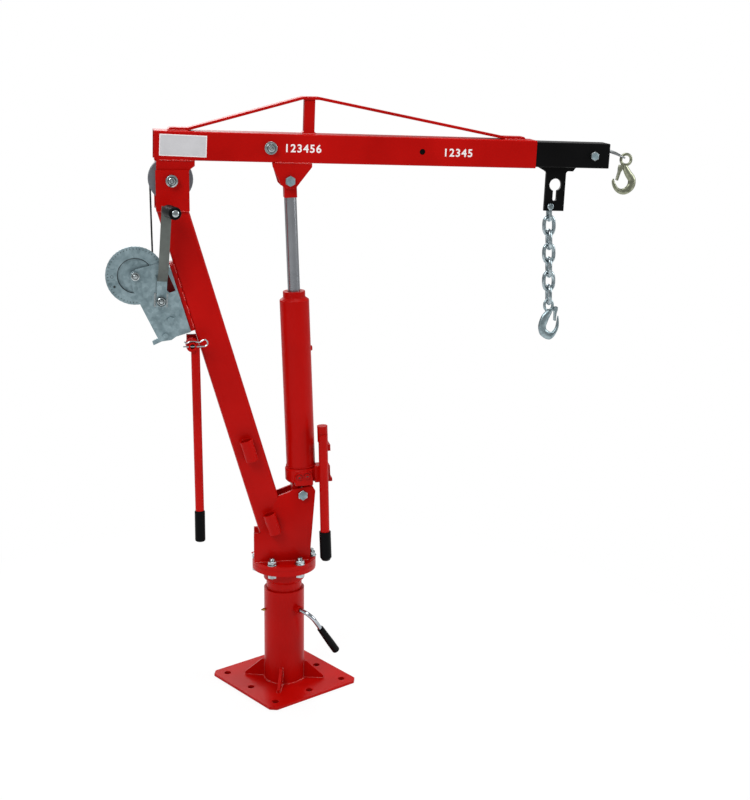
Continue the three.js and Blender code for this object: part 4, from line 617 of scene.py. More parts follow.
# Oblong ring path in mm; a power over 2 draws the sides fuller than an ellipse's
def ovalPath(half, tall, power, count):
    path = []
    for i in range(count):
        angle = 2 * math.pi * i / count
        c, s = math.cos(angle), math.sin(angle)
        x = half * math.copysign(abs(c) ** (2 / power), c)
        z = tall * math.copysign(abs(s) ** (2 / power), s)
        path.append(Vector((x, 0, z)))
    return path


# Forged hooks in mm: eye as half width, half height and half wire, the latch's hinge, and a tapered bill as
# x, z and half width in shares of the length
hooks = [
    {"node": "chain_hook", "length": 81, "thick": 5.4, "eye": (9.4, 12.1, 3.2), "hinge": (16.1, -7.5),
     "place": tiltedFrame(595.03, 856.44, math.radians(-2.3)), "spineShares": [
         (0.03, -0.15, 0.07), (0.012, -0.192, 0.088), (-0.095, -0.341, 0.117), (-0.173, -0.54, 0.115),
         (-0.176, -0.653, 0.113), (-0.135, -0.76, 0.117), (0.007, -0.859, 0.113), (0.083, -0.843, 0.093),
         (0.153, -0.788, 0.068), (0.232, -0.675, 0.05), (0.261, -0.547, 0.042), (0.271, -0.401, 0.028),
         (0.275, -0.312, 0.012)]},
    {"node": "rope_hook", "length": 79.5, "thick": 5.4, "eye": (11.6, 11.6, 3.3), "hinge": (-11.02, -15.2),
     "place": tiltedFrame(758, 1177.2, 0), "spineShares": [
         (-0.03, -0.16, 0.06), (-0.012, -0.214, 0.082), (0.093, -0.393, 0.104), (0.187, -0.517, 0.112),
         (0.208, -0.611, 0.114), (0.189, -0.718, 0.115), (0.124, -0.804, 0.106), (0.016, -0.87, 0.093),
         (-0.109, -0.874, 0.076), (-0.226, -0.812, 0.062), (-0.308, -0.692, 0.053), (-0.342, -0.583, 0.037),
         (-0.33, -0.52, 0.016)]},
]
hookForge = {"eyePower": 2.15, "eyeSides": 48, "lug": (3.8, 3.6), "spanSteps": 6, "voxel": 0.5, "rounds": 5}


def makeHook(hook):
    length = hook["length"]
    spine = [Vector((x * length, w * length, z * length)) for x, z, w in hook["spineShares"]]
    stations = smoothRoute(spine, count=hookForge["spanSteps"])  # y carries the half width
    path = [Vector((p.x, 0, p.z)) for p in stations]
    bill = sweepBody("bill", path, [(p.y, min(p.y, hook["thick"])) for p in stations])
    half, tall, wire = hook["eye"]
    ring = ovalPath(half, tall, hookForge["eyePower"], hookForge["eyeSides"])
    eye = sweepBody("eye", ring, [(wire, wire)] * len(ring), closed=True)
    x, z = hook["hinge"]
    lug = sweepBody("lug", [Vector((x, 0, z)), path[0]], [hookForge["lug"]] * 2)
    piece = joinPieces([bill, eye, lug])
    castForm(piece, hookForge["voxel"], hookForge["rounds"])
    takeOver(piece, hook["node"], ownFinish[hook["node"]], "_forged", hook["place"])


for hook in hooks:
    makeHook(hook)
print("cast and forged pieces done")


# A second finish on the faces whose distance along a direction is past a limit
def paintPast(pieceName, material, start, direction, past):
    piece = bpy.data.objects[pieceName]
    piece.data.materials.append(material)
    for face in piece.data.polygons:
        if past((face.center - start).dot(direction) / mm):
            face.material_index = 1


# The ram's eye keeps the jack's red paint, down to this far below its bolt in mm; the rod below it is bare
ramEye = 37.5
jackUp = (jackFrame.to_3x3() @ Vector((0, 0, 1))).normalized()
paintPast("jack_ram_dressed", redEnamel, boomHead, jackUp, lambda height: height > -ramEye)

# The crank below its bend, this far above its hub in mm, gets the brighter sheet zinc as painted light, and
# the duller arm above is painted shade
crankBend = 43
crankX, crankZ = columnPlaces["crankHub"]
crankHub = spot(columnFrame, crankX, 0, crankZ)
crankUp = Vector((math.sin(crankLean), 0, math.cos(crankLean)))
paintPast("crank_arm_dressed", galvanisedSheet, crankHub, crankUp, lambda height: height < crankBend)

# Column foot: a welded and ground face over the column's edges, as x and z and between two y places
footFace = {"front": -31.75, "back": -31.4, "edge": 0.3, "outline": [
    (-71, 298.4), (-71, 366.5), (-57.4, 366.5), (-16.5, 451), (20, 464.2), (59, 471), (65.6, 459.4),
    (53.1, 298.4),
]}


def makeFootFace():
    piece = outlinePlate(footFace["outline"], footFace["front"], footFace["back"])
    applyModifier(
        piece, "BEVEL", width=footFace["edge"] * mm, segments=2, limit_method="ANGLE",
        angle_limit=math.radians(30),
    )
    smoothShade(piece, 30)
    finishPiece(piece, "foot_face", "mast", redEnamel)


makeFootFace()

# Red tongue of the column's pad seen through the winch frame's windows, in darker red as painted shade
tongue = {"front": -20, "back": -17, "outline": [(-38, 134), (-59, 134), (-76, 166), (-80, 187), (-47, 187)]}


def makeTongue():
    piece = outlinePlate(tongue["outline"], tongue["front"], tongue["back"])
    smoothShade(piece, 30)
    finishPiece(piece, "winch_tongue", "mast", shadedRedEnamel, columnFrame)


makeTongue()

# Chain: oval links of round wire, one modelled and copied, hung as the CAD hangs them
chain = {"count": 6, "wire": 4.2, "half": 11.2, "tall": 19.75, "power": 2.5, "lean": math.radians(-2.3)}


def makeChainLinks():
    path = ovalPath(chain["half"], chain["tall"], chain["power"], 72)
    link = sweepBody("link", path, [(chain["wire"], chain["wire"])] * len(path), 18, closed=True)
    smoothShade(link, 180)
    lean = Matrix.Rotation(chain["lean"], 4, "Y")
    for number in range(1, chain["count"] + 1):
        name = f"chain_link_{number}"
        low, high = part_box(name)
        quarter = Matrix.Rotation(math.pi / 2 if number % 2 == 0 else 0, 4, "Z")
        place = Matrix.Translation((low + high) / 2) @ lean @ quarter
        takeOver(copyPiece(link, name), name, chainZinc, place=place)
    bpy.data.objects.remove(link)


makeChainLinks()
print("chain done")

# Wire rope in mm: six strands round a core, laid with a real twist along the route
rope = {"radius": 2.0, "strands": 6, "layLength": 26, "stepLength": 2.2, "profile": 18, "layShare": 0.1}


# Frames are carried along the route so that the lay never jumps
def makeRope(name, route, body, material, replaced):
    bm = bmesh.new()
    rings = []
    ahead = (route[1] - route[0]).normalized()
    across = ahead.orthogonal().normalized()
    travelled = 0
    for i, point in enumerate(route):
        if i:
            travelled += (point - route[i - 1]).length
        heading = (route[min(i + 1, len(route) - 1)] - route[max(i - 1, 0)]).normalized()
        across = (across - heading * across.dot(heading)).normalized()
        other = heading.cross(across)
        ring = []
        for k in range(rope["profile"]):
            angle = 2 * math.pi * k / rope["profile"]
            turn = angle - 2 * math.pi * travelled / rope["layLength"]
            strand = rope["layShare"] * math.cos(rope["strands"] * turn)
            bulge = rope["radius"] * (1 - rope["layShare"] + strand)
            outward = across * math.cos(angle) + other * math.sin(angle)
            ring.append(bm.verts.new((point + bulge * outward) * mm))
        rings.append(ring)
    for near, far in zip(rings, rings[1:]):
        for k in range(rope["profile"]):
            following = (k + 1) % rope["profile"]
            bm.faces.new((near[k], near[following], far[following], far[k]))
    bm.faces.new(list(reversed(rings[0])))
    bm.faces.new(rings[-1])
    bm.normal_update()
    piece = linkForm(name, bm)
    smoothShade(piece, 60)
    finishPiece(piece, name, body, material)
    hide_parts(replaced)
    return piece


drumX, drumZ = columnPlaces["drumAxle"]
drumCentre = spot(columnFrame, drumX, 0, drumZ) / mm
winding = {"turns": 7.5, "pitch": 5.3, "start": -19.5, "coreRadius": 37.4, "gap": 0.3, "steps": 60}
woundRadius = winding["coreRadius"] + winding["gap"] + rope["radius"]


def windingRoute():
    count = round(winding["turns"] * winding["steps"])
    points = []
    for i in range(count + 1):
        turned = winding["turns"] * i / count
        angle = -turned * 2 * math.pi
        x = drumCentre.x + woundRadius * math.cos(angle)
        y = winding["start"] + (winding["turns"] - turned) * winding["pitch"]
        points.append(Vector((x, y, drumCentre.z + woundRadius * math.sin(angle))))
    return points


# From the drum up to the head pulley and a quarter round it; rises in mm, shares of the way up
pulley = {"centre": groundPlaces["boomPivot"], "ropeRadius": 42.4, "steps": 14}
ropeRun = {"lift": (1.3, 2.3), "wayShares": (0.12, 0.4, 0.7, 0.92), "swayPower": 1.5}


def runRoute():
    start = windingRoute()[0]
    x, z = pulley["centre"]
    radius = pulley["ropeRadius"]
    left = x - radius
    rise = z - start.z
    settle = ropeRun["wayShares"][-1]
    points = [start + Vector((0, 0, lift)) for lift in ropeRun["lift"]]
    for share in ropeRun["wayShares"]:
        sway = start.y * (1 - (share / settle) ** ropeRun["swayPower"])
        points.append(Vector((start.x + (left - start.x) * share, sway, start.z + rise * share)))
    for i in range(pulley["steps"] + 1):
        angle = math.pi - math.pi / 2 * i / pulley["steps"]
        points.append(Vector((x + radius * math.cos(angle), 0, z + radius * math.sin(angle))))
    return smoothRoute(points, rope["stepLength"])


# The rope's end in mm: through the boom, over the tip roller, out to a loop round the hook's eye
ropeEnd = {
    "foot": (181, 50.5), "crest": (907.9, 82.7), "mouth": (711, 1196.5), "tail": (704, 1197), "steps": 30,
}
ropeLoop = {"bight": (754.2, 1181.0), "half": 11, "lift": 4, "lap": 4, "gap": 2, "step": 1.2}
loopShares = ((0.1, 0.4, 0.6), (0.35, 0.9, 1), (0.65, 1, 1), (0.9, 0.6, 0.4))  # along, out and up


def loopRoute():
    mouth = Vector((ropeEnd["mouth"][0], 0, ropeEnd["mouth"][1]))
    bight = Vector((ropeLoop["bight"][0], 0, ropeLoop["bight"][1]))
    out = []
    for hand in (-1, 1):
        side = []
        for along, width, rise in loopShares:
            point = mouth.lerp(bight, along)
            point.y = hand * ropeLoop["half"] * width
            point.z += rise * ropeLoop["lift"] if hand > 0 else 0
            side.append(point)
        out += side + [bight] if hand < 0 else list(reversed(side))
    first = mouth - Vector((ropeLoop["lap"], 0, 0))
    last = mouth + Vector((-ropeLoop["lap"], ropeLoop["gap"], 0))
    return smoothRoute([first] + out + [last], ropeLoop["step"])


def leadRoute():
    foot, crest = [spot(boomFrame, x, 0, z) / mm for x, z in (ropeEnd["foot"], ropeEnd["crest"])]
    inner = [foot.lerp(crest, i / ropeEnd["steps"]) for i in range(ropeEnd["steps"] + 1)]
    return smoothRoute(inner + [Vector((ropeEnd["tail"][0], 0, ropeEnd["tail"][1]))], rope["stepLength"])


def makeRopes():
    makeRope("rope_winding_laid", windingRoute(), "drum", darkWire, "rope_winding")
    piece = makeRope("rope_run_laid", runRoute(), None, darkWire, "rope_run")
    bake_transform(piece)
    makeRope("rope_end_lead", leadRoute(), "extension", loopWire, "rope_end")
    makeRope("rope_end_loop", loopRoute(), "extension", loopWire, "rope_end")


makeRopes()
print("rope done")


# Weld bead: overlapping flattened ripples laid along a line, painted over
def makeBead(name, body, runs, size=2.3, material=litWeldEnamel):
    random.seed(name)
    bpy.ops.object.select_all(action="DESELECT")
    bpy.ops.mesh.primitive_uv_sphere_add(segments=8, ring_count=6, radius=1 * mm)
    ripple = bpy.context.object
    bm = bmesh.new()
    for start, end in runs:
        span = end - start
        count = max(2, round(span.length / (size * 0.8 * mm)))
        lay = span.to_track_quat("X", "Z").to_matrix().to_4x4()
        for i in range(count + 1):
            wide = size * random.uniform(0.7, 1.3)
            scale = Matrix.Diagonal((size * 0.8, wide, wide * 0.8, 1))
            lump = ripple.data.copy()
            lump.transform(Matrix.Translation(start + span * i / count) @ lay @ scale)
            bm.from_mesh(lump)
            bpy.data.meshes.remove(lump)
    bpy.data.objects.remove(ripple)
    piece = linkForm(name, bm)
    smoothShade(piece, 180)
    return finishPiece(piece, name, body, material)


def line(place, points):
    corners = [spot(place, *point) for point in points]
    return list(zip(corners, corners[1:]))


def circle(place, radius, height, count):
    angles = [2 * math.pi * i / count for i in range(count + 1)]
    return line(place, [(radius * math.cos(a), radius * math.sin(a), height) for a in angles])


# Welds in mm, in the frame of the piece that they are on
baseWelds = {
    "plateTop": 6, "postRadius": 45.2, "gussetReach": 44, "gussetHeight": 40, "gussetHalf": 3, "lap": 0.5,
    "postRise": 0.6, "plateRise": 0.4,
}
footWelds = {"side": 31.5, "from": -68, "to": 50, "height": 298.4, "spindleRadius": 45, "spindleHeight": 275}
columnWelds = {
    "stitch": (-32.2, -31.7), "stitchStarts": range(52, 190, 30), "stitchLength": 18,
    "padSides": (-29, -20, -11, -2), "pad": ((-39, 190.6), (-33, 191)),
    "handleTubes": (-241, -418), "tubeHalf": 6, "tubeFace": -32.4, "tubeReach": 22,
    "headFace": -34.5, "head": ((-262, 1079), (-202, 1079)),
}
boomWelds = {
    "bracketSide": 29.2, "bracketHeight": 40.8, "brackets": ((-24, 44), (214, 286)),
    "trussSide": 15, "trussHeight": 99.9, "strapEnds": ((-6, 33), (709, 755)),
    "strut": ((273.6, -12), (297.6, -12), (297.6, 12), (273.6, 12), (273.6, -12)),
}
tipWelds = {"side": 4, "from": 790, "to": 876, "height": 43}
jackWelds = {"radius": 31.9, "height": 60}


def baseRuns():
    near, top = baseWelds["postRadius"], baseWelds["plateTop"]
    far = near + baseWelds["gussetReach"]
    runs = circle(groundFrame, near, top + baseWelds["postRise"], 36)
    low = top + baseWelds["plateRise"]
    for quarter in range(4):
        turn = Matrix.Rotation(plateYaw + math.pi / 4 + math.pi / 2 * quarter, 4, "Z")
        for side in (-baseWelds["gussetHalf"], baseWelds["gussetHalf"]):
            post = near - baseWelds["lap"]
            runs += line(turn, [(far, side, low), (near, side, low)])
            runs += line(turn, [(post, side, top), (post, side, top + baseWelds["gussetHeight"])])
    return runs


def footRuns():
    runs = []
    height = footWelds["height"]
    for side in (-footWelds["side"], footWelds["side"]):
        runs += line(groundFrame, [(footWelds["from"], side, height), (footWelds["to"], side, height)])
    return runs + circle(groundFrame, footWelds["spindleRadius"], footWelds["spindleHeight"], 30)


def columnRuns():
    runs = []
    x, y = columnWelds["stitch"]
    for along in columnWelds["stitchStarts"]:
        runs += line(columnFrame, [(x, y, along), (x, y, along + columnWelds["stitchLength"])])
    (x0, z0), (x1, z1) = columnWelds["pad"]
    for side in columnWelds["padSides"]:
        runs += line(columnFrame, [(x0, side, z0), (x1, side, z1)])
    y, reach = columnWelds["tubeFace"], columnWelds["tubeReach"]
    for along in columnWelds["handleTubes"]:
        for x in (-columnWelds["tubeHalf"], columnWelds["tubeHalf"]):
            runs += line(columnFrame, [(x, y, along - reach), (x, y, along + reach)])
    return runs + line(groundFrame, [(x, columnWelds["headFace"], z) for x, z in columnWelds["head"]])


def boomRuns():
    runs = []
    height = boomWelds["bracketHeight"]
    for side in (-boomWelds["bracketSide"], boomWelds["bracketSide"]):
        for start, end in boomWelds["brackets"]:
            runs += line(boomFrame, [(start, side, height), (end, side, height)])
    height = boomWelds["trussHeight"]
    for side in (-boomWelds["trussSide"], boomWelds["trussSide"]):
        for start, end in boomWelds["strapEnds"]:
            runs += line(boomFrame, [(start, side, height), (end, side, height)])
    return runs + line(boomFrame, [(x, y, height) for x, y in boomWelds["strut"]])


def tipRuns():
    runs = []
    height = tipWelds["height"]
    for side in (-tipWelds["side"], tipWelds["side"]):
        runs += line(boomFrame, [(tipWelds["from"], side, height), (tipWelds["to"], side, height)])
    return runs


makeBead("base_welds", "base", baseRuns(), 2.3)
makeBead("foot_welds", "mast", footRuns(), 2.7)
makeBead("column_welds", "mast", columnRuns(), 2.2)
makeBead("boom_welds", "boom", boomRuns(), 2.4)
makeBead("hanger_welds", "extension", tipRuns(), 1.8, blackEnamel)
jackRing = circle(jackFrame, jackWelds["radius"], jackWelds["height"], 30)
makeBead("jack_welds", "jack_cylinder", jackRing, 1.3, redEnamel)
print("welds done")

# Flange bolts in mm: hexagon heads below, washers, nuts and threaded ends above; one modelled and copied
flangeBolt = {
    "count": 6, "circle": 61, "azimuth": math.radians(-3.3), "radius": 5.8, "head": 10.2, "headFoot": 267.6,
    "headTop": 275.2, "nutFoot": 298.2, "nutTop": 308, "end": 314, "threadPitch": 1.75, "threadDepth": 0.8,
    "washer": [(11.6, 298.05), (11.6, 299.6)], "firstTurn": 0.4, "nextTurn": 1.3,
}
flangeSeam = [(70.5, 286.9), (70.5, 288.9)]  # dark red ring as painted shade in the groove between the two flanges


def threadProfile(radius, start, end, pitch, depth):
    profile = []
    for i in range(round((end - start) / pitch)):
        low = start + i * pitch
        profile += [(radius - depth, low), (radius, low + pitch * 0.4), (radius, low + pitch * 0.6)]
    return profile + [(radius - depth - 0.1, end)]


def makeFlangeBolts():
    head, radius, around = flangeBolt["head"], flangeBolt["radius"], flangeBolt["circle"]
    low, high = flangeBolt["headFoot"], flangeBolt["headTop"]
    headPiece = turnedBody("head", [(head - 1.2, low), (head, low + 0.9), (head, high)], 6)
    low, top = flangeBolt["nutFoot"], flangeBolt["nutTop"]
    nutPiece = turnedBody("nut", [(head, low), (head, top - 1), (head - 1.3, top)], 6)
    pitch, depth = flangeBolt["threadPitch"], flangeBolt["threadDepth"]
    threads = threadProfile(radius, top - 1, flangeBolt["end"], pitch, depth)
    shank = turnedBody("shank", [(radius, high - 1)] + threads, 20)
    washer = turnedBody("washer", flangeBolt["washer"], 28)
    bolt = joinPieces([headPiece, nutPiece, washer, shank])
    applyModifier(
        bolt, "BEVEL", width=0.35 * mm, segments=2, limit_method="ANGLE", angle_limit=math.radians(40),
    )
    smoothShade(bolt, 30)
    for i in range(flangeBolt["count"]):
        angle = flangeBolt["azimuth"] + 2 * math.pi * i / flangeBolt["count"]
        turn = Matrix.Rotation(flangeBolt["firstTurn"] + i * flangeBolt["nextTurn"], 4, "Z")
        place = shift(around * math.cos(angle), around * math.sin(angle), 0) @ turn
        name = f"flange_bolt_{i + 1}"
        finishPiece(copyPiece(bolt, name), name, "mast", brightZinc, place)
    bpy.data.objects.remove(bolt)


def makeFlangeSeam():
    seam = turnedBody("flange_seam", flangeSeam, 72)
    smoothShade(seam, 30)
    finishPiece(seam, "flange_seam", "mast", shadedRedEnamel)


makeFlangeBolts()
makeFlangeSeam()
print("flange bolts done")

# Bolt and nut faces, outward from a bolt's plain end: washers, hexagons and crowned ends as radius, rise,
# sides and finish in mm
# Dark faces are painted shade of grooves and sockets; the small bright discs inside dark rings on the pivot
# and extension bolts are painted highlights
boltFinishes = {"bright": brightZinc, "dark": recessShadeSteel, "dull": galvanisedSheet}
bolts = [
    {"node": "boom_pivot_bolt", "place": groundFrame, "at": groundPlaces["boomPivot"], "stack": [
        (12.2, 0.8, 36, "bright"), (9.2, 1.0, 32, "dark"), (7.6, 2.6, 6, "bright"), (4.2, 3.2, 20, "dark"),
        (3, 3.6, 16, "bright")]},
    {"node": "extension_bolt", "place": boomFrame, "at": (203.5, 70.2), "stack": [
        (8.8, 0.4, 30, "dark"), (7.2, 1.2, 30, "bright"), (4.6, 1.5, 6, "dark"), (2.6, 1.9, 16, "bright")]},
    {"node": "jack_foot_bolt", "place": groundFrame, "at": groundPlaces["jackFoot"], "stack": [
        (9.4, 0.7, 36, "dull")]},
    {"node": "jack_head_bolt", "place": groundFrame, "at": (boomHead.x / mm, boomHead.z / mm), "stack": [
        (9.2, 0.7, 36, "dull")]},
    {"node": "roller_bolt", "place": boomFrame, "at": (907.9, 70.1), "stack": [(7.6, 0.6, 30, "dull")]},
    {"node": "drum_axle", "place": columnFrame, "at": columnPlaces["drumAxle"], "stack": [
        (8.8, 0.5, 30, "bright"), (6.6, 0.8, 24, "dark"), (5.4, 2.0, 6, "bright"), (2.8, 2.8, 16, "bright")]},
    {"node": "pinion_shaft", "place": columnFrame, "at": columnPlaces["crankHub"], "stack": [
        (10.2, 0.4, 30, "dark"), (9.0, 1.4, 6, "bright"), (6.2, 1.7, 24, "dark"), (4.2, 2.8, 18, "bright")]},
]
boltFace = {"sunk": 0.4, "crown": (1.1, 0.6), "edge": (0.5, 0.25)}


# The hexagons have a round crown, the rest a small broken edge
def makeBoltFace(bolt):
    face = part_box(bolt["node"])[0].y / mm
    x, z = bolt["at"]
    place = bolt["place"] @ outwardAt(x, face, z)
    for number, (radius, rise, sides, finish) in enumerate(bolt["stack"]):
        inward, below = boltFace["crown" if sides == 6 else "edge"]
        profile = [(radius, -boltFace["sunk"]), (radius, rise - below), (radius - inward, rise)]
        piece = turnedBody("face", profile, sides)
        smoothShade(piece, 32)
        name = f"{bolt['node']}_face_{number + 1}"
        finishPiece(piece, name, bodyOf[bolt["node"]], boltFinishes[finish], place)


for bolt in bolts:
    makeBoltFace(bolt)

# Winch gear cover in mm: a rolled dish edge, a ring of punched slots, one round hole and a stamped ring, all
# in dark steel as painted shade
cover = {
    "face": -33, "dish": 36.2, "dishWire": 0.8, "slots": 52, "slotRadius": 56, "slotSize": (1.7, 0.75),
    "sunk": 0.2, "proud": 0.06, "hole": (-42.5, -22.5), "holeRadius": 2.6, "stamp": (-47.5, -1.5),
    "stampRadius": 2.8, "stampWire": 0.4,
}


def makeCoverDetail():
    place = columnFrame @ outwardAt(drumX, cover["face"], drumZ)
    spin = Matrix.Rotation(-columnTilt, 4, "Z")
    ring = makeRing(cover["dish"], cover["dishWire"], 72, 10)
    finishPiece(ring, "gear_cover_dish_edge", bodyOf["drum_gear"], recessShadeSteel, place)
    slot = turnedBody("slot", [(1, -cover["sunk"]), (1, cover["proud"])], 8)
    slot.data.transform(shift(cover["slotRadius"], 0, 0) @ Matrix.Diagonal((*cover["slotSize"], 1, 1)))
    slots = []
    for number in range(cover["slots"]):
        slots.append(copyPiece(slot, "slot"))
        slots[-1].data.transform(Matrix.Rotation(2 * math.pi * number / cover["slots"], 4, "Z"))
    bpy.data.objects.remove(slot)
    radius = cover["holeRadius"]
    hole = turnedBody("hole", [(radius, -cover["sunk"]), (radius, cover["proud"])], 20)
    hole.data.transform(spin @ shift(*cover["hole"], 0))
    piece = joinPieces([hole] + slots)
    finishPiece(piece, "gear_cover_slots", bodyOf["drum_gear"], recessShadeSteel, place)
    stamp = makeRing(cover["stampRadius"], cover["stampWire"], 24, 6)
    stampPlace = place @ spin @ shift(*cover["stamp"], 0)
    finishPiece(stamp, "gear_cover_stamp", bodyOf["drum_gear"], recessShadeSteel, stampPlace)


makeCoverDetail()

# Crank grip in mm: a turned vinyl sleeve, pointing out and a little back, round the pin's bright head
crankGrip = {
    "reach": 191.5, "lean": math.radians(20.4), "face": -77, "twist": math.radians(8.9),
    "profile": [
        (10.2, 2.4), (11, 3.4), (12.8, 16), (13, 22), (12.9, 79), (12.4, 81.6), (11.2, 83.4), (9.6, 84),
        (7.9, 83.7), (7.8, 77)],
    "pinHead": [(6.9, 83.5), (6.9, 84.2), (5.8, 85.1), (2, 85.4)],
}


def makeCrankGrip():
    reach, lean, twist = crankGrip["reach"], crankGrip["lean"], crankGrip["twist"]
    foot = shift(crankX + reach * math.sin(lean), crankGrip["face"], crankZ + reach * math.cos(lean))
    axis = columnFrame.to_3x3() @ Vector((math.sin(twist), -math.cos(twist), 0))
    lay = axis.to_track_quat("Z", "Y").to_matrix().to_4x4()
    place = Matrix.Translation((columnFrame @ foot).translation) @ lay
    piece = turnedBody("crankGrip", crankGrip["profile"], 48)
    smoothShade(piece, 60)
    finishPiece(piece, "crank_grip_turned", bodyOf["crank_grip"], gripVinyl, place)
    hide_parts("crank_grip")
    screw = turnedBody("screw", crankGrip["pinHead"], 28)
    smoothShade(screw, 40)
    finishPiece(screw, "crank_pin_head", bodyOf["crank_arm"], brightZinc, place)


makeCrankGrip()

# The jack's release valve cover in mm: a painted screw at the left, a slotted valve at the right, each in
# a darker red ring, painted shade of its groove; each dark drive is painted shade of a socket or slot
valveScrews = [
    {"at": (-10, 42), "drive": ((-2, 2), (-0.2, 0.8), (-2, 2)), "rides": "jack_base"},
    {"at": (7.5, 43.5), "drive": ((-3.6, 3.6), (-0.25, 0.8), (-0.7, 0.7)), "rides": "release_valve"},
]
valveRing = [(7.4, -5.5), (7.4, -3.85)]
valveHead = [(5.6, -6), (5.6, -0.8), (4.8, 0)]


def makeValveScrews():
    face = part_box("release_valve")[0].y / mm
    for number, screw in enumerate(valveScrews, 1):
        x, z = screw["at"]
        place = jackFrame @ outwardAt(x, face, z)
        if number == 1:
            head = turnedBody("valveHead", valveHead, 28)
            smoothShade(head, 32)
            finishPiece(head, "valve_cover_screw", "jack_cylinder", redEnamel, place)
        ring = turnedBody("valveRing", valveRing, 28)
        smoothShade(ring, 32)
        finishPiece(ring, f"valve_ring_{number}", "jack_cylinder", shadedRedEnamel, place)
        body, lay = bodyOf[screw["rides"]], jackFrame @ shift(x, face, z)
        makePlate(f"valve_drive_{number}", screw["drive"], body, recessShadeSteel, lay)


# Square bearing plate under the crank, in mm
hubPlate = ((-14.5, 14.5), (-39.6, -38.1), (-14.5, 14.5))


def makeHubPlate():
    place = Matrix.Translation(crankHub) @ Matrix.Rotation(crankLean, 4, "Y")
    makePlate("crank_hub_plate", hubPlate, "mast", brightZinc, place)


# Bare silver label with a white border, and plain counting numbers printed white on the boom's face, in mm
label = {
    "left": -24.7, "right": 71.5, "low": 48.9, "high": 92.6, "face": -29.9, "border": 1.6, "thick": 0.3,
    "sunk": 0.1, "tilt": math.radians(1.1),
}
numbers = [
    {"name": "number_inner", "digits": "123456", "at": (231, 63.2)},
    {"name": "number_outer", "digits": "12345", "at": (570, 62.2)},
]
numberPrint = {"height": 16, "capShare": 0.7, "face": -29.62, "thick": 0.1, "bold": 0.45, "spacing": 1.17}


def makeLabel():
    face, thick, border = label["face"], label["thick"], label["border"]
    wide = (label["left"], label["right"])
    tall = (label["low"], label["high"])
    middle = Vector((sum(wide) / 2, 0, sum(tall) / 2)) * mm
    turn = Matrix.Rotation(label["tilt"], 4, "Y")
    place = boomFrame @ Matrix.Translation(middle) @ turn @ Matrix.Translation(-middle)
    makePlate("label_border", (wide, (face, face + thick), tall), "boom", printWhite, place)
    wide = (wide[0] + border, wide[1] - border)
    tall = (tall[0] + border, tall[1] - border)
    deep = (face - label["sunk"], face + thick)
    makePlate("label_foil", (wide, deep, tall), "boom", labelFoil, place)


def makeNumber(number):
    bpy.ops.object.select_all(action="DESELECT")
    bpy.ops.object.text_add()
    text = bpy.context.object.data
    text.body = number["digits"]
    text.size = numberPrint["height"] * mm / numberPrint["capShare"]
    text.extrude = numberPrint["thick"] * mm
    text.offset = numberPrint["bold"] * mm
    text.space_character = numberPrint["spacing"]
    bpy.ops.object.convert(target="MESH")
    x, z = number["at"]
    place = boomFrame @ outwardAt(x, numberPrint["face"], z)
    finishPiece(bpy.context.object, number["name"], "boom", printWhite, place)


makeLabel()
makeHubPlate()
makeValveScrews()
for number in numbers:
    makeNumber(number)
print("label and numbers done")

# White floor that keeps a soft shadow, white beyond it, and plain soft lamps; lengths in metres
studio = {
    "floor": 400, "floorDrop": 0.4 * mm, "pale": 0.88, "whiteShare": 0.8, "whiteFrom": 0.35,
    "whiteBeyond": 1.1, "plateHalf": 0.118, "cornerShare": 0.524, "paintedShadowUnderPlate": "4A1210", "worldLight": 0.42,
}
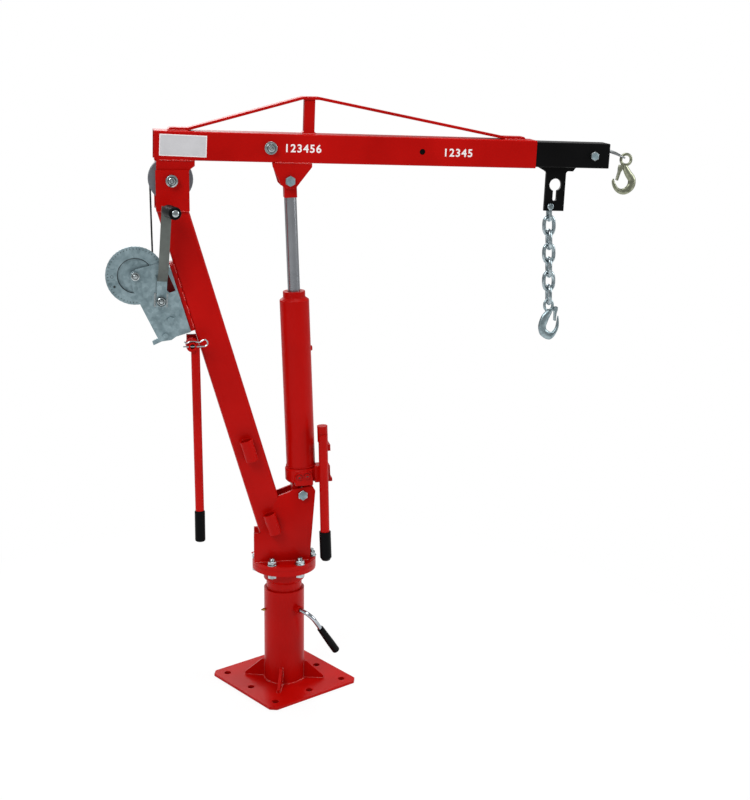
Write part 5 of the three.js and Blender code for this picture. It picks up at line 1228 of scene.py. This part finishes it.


# The floor is pale paint; to the camera it turns white with distance, and has a dark red painted shadow
# under the base plate, whose holes would show it: the plate's turned square with cut corners is its mask
def makeFloor():
    bpy.ops.object.select_all(action="DESELECT")
    bpy.ops.mesh.primitive_plane_add(size=studio["floor"], location=(0, 0, -studio["floorDrop"]))
    floor = bpy.context.object
    floor.name = "studioFloor"
    material, tree = newMaterial("paleFloor")
    white = addNode(tree, "ShaderNodeEmission", {"Color": grey(1), "Strength": 1})
    rays = addNode(tree, "ShaderNodeLightPath")
    place = addNode(tree, "ShaderNodeTexCoord").outputs["Object"]
    distance = addNode(tree, "ShaderNodeVectorMath", links={0: place}, operation="LENGTH").outputs["Value"]
    whiter = addNode(
        tree, "ShaderNodeMapRange",
        {1: studio["whiteFrom"], 2: studio["whiteBeyond"], 3: studio["whiteShare"], 4: 1},
        {"Value": distance},
    ).outputs["Result"]
    turned = addNode(
        tree, "ShaderNodeVectorRotate", {"Angle": -plateYaw}, {"Vector": place}, rotation_type="Z_AXIS",
    )
    sides = addNode(tree, "ShaderNodeSeparateXYZ", links={0: turned.outputs["Vector"]})
    across = addNode(tree, "ShaderNodeMath", links={0: sides.outputs["X"]}, operation="ABSOLUTE").outputs[0]
    along = addNode(tree, "ShaderNodeMath", links={0: sides.outputs["Y"]}, operation="ABSOLUTE").outputs[0]
    reach = addNode(tree, "ShaderNodeMath", links={0: across, 1: along}, operation="MAXIMUM").outputs[0]
    slant = addNode(tree, "ShaderNodeMath", links={0: across, 1: along}, operation="ADD").outputs[0]
    corner = addNode(
        tree, "ShaderNodeMath", {1: studio["cornerShare"]}, {0: slant}, operation="MULTIPLY",
    ).outputs[0]
    outline = addNode(tree, "ShaderNodeMath", links={0: reach, 1: corner}, operation="MAXIMUM").outputs[0]
    bare = addNode(
        tree, "ShaderNodeMath", {1: studio["plateHalf"]}, {0: outline}, operation="GREATER_THAN",
    ).outputs[0]
    shade = addNode(
        tree, "ShaderNodeValToRGB", links={"Fac": bare},
        ramp=[(0, linear(studio["paintedShadowUnderPlate"])), (1, grey(studio["pale"]))],
    )
    lit = addNode(tree, "ShaderNodeBsdfDiffuse", links={"Color": shade.outputs["Color"]})
    openFloor = addNode(tree, "ShaderNodeMath", links={0: whiter, 1: bare}, operation="MULTIPLY").outputs[0]
    share = addNode(
        tree, "ShaderNodeMath", links={0: rays.outputs["Is Camera Ray"], 1: openFloor}, operation="MULTIPLY",
    ).outputs[0]
    mix = addNode(tree, "ShaderNodeMixShader", links={0: share, 1: lit.outputs[0], 2: white.outputs[0]})
    addNode(tree, "ShaderNodeOutputMaterial", links={"Surface": mix.outputs[0]})
    floor.data.materials.append(material)


def makeWorld():
    world = bpy.data.worlds.new("softStudio")
    bpy.context.scene.world = world
    world.use_nodes = True
    world.node_tree.nodes.clear()
    tree = world.node_tree
    rays = addNode(tree, "ShaderNodeLightPath")
    dim = addNode(tree, "ShaderNodeBackground", {"Color": grey(1), "Strength": studio["worldLight"]})
    white = addNode(tree, "ShaderNodeBackground", {"Color": grey(1), "Strength": 1})
    mix = addNode(
        tree, "ShaderNodeMixShader",
        links={0: rays.outputs["Is Camera Ray"], 1: dim.outputs[0], 2: white.outputs[0]},
    )
    addNode(tree, "ShaderNodeOutputWorld", links={"Surface": mix.outputs[0]})


# Soft round lamps, places and sizes in metres and power in watts
lampAim = Vector((0.15, 0, 0.75))
lamps = [
    {"name": "keyLamp", "place": (-2.2, -2.6, 3.4), "size": 2.0, "power": 84},
    {"name": "topLamp", "place": (0.3, 0.3, 4.2), "size": 2.4, "power": 88},
    {"name": "rightLamp", "place": (3.2, -0.8, 1.8), "size": 1.8, "power": 40},
    {"name": "backLamp", "place": (-0.5, 3.4, 2.6), "size": 2.4, "power": 46},
]


def makeLamps():
    for lamp in lamps:
        light = bpy.data.lights.new(lamp["name"], "AREA")
        light.shape = "DISK"
        light.size = lamp["size"]
        light.energy = lamp["power"]
        holder = bpy.data.objects.new(lamp["name"], light)
        bpy.context.scene.collection.objects.link(holder)
        holder.location = lamp["place"]
        holder.rotation_euler = (lampAim - Vector(lamp["place"])).to_track_quat("-Z", "Y").to_euler()


makeFloor()
makeWorld()
makeLamps()
bpy.context.scene.view_settings.view_transform = "Standard"
print("studio done")
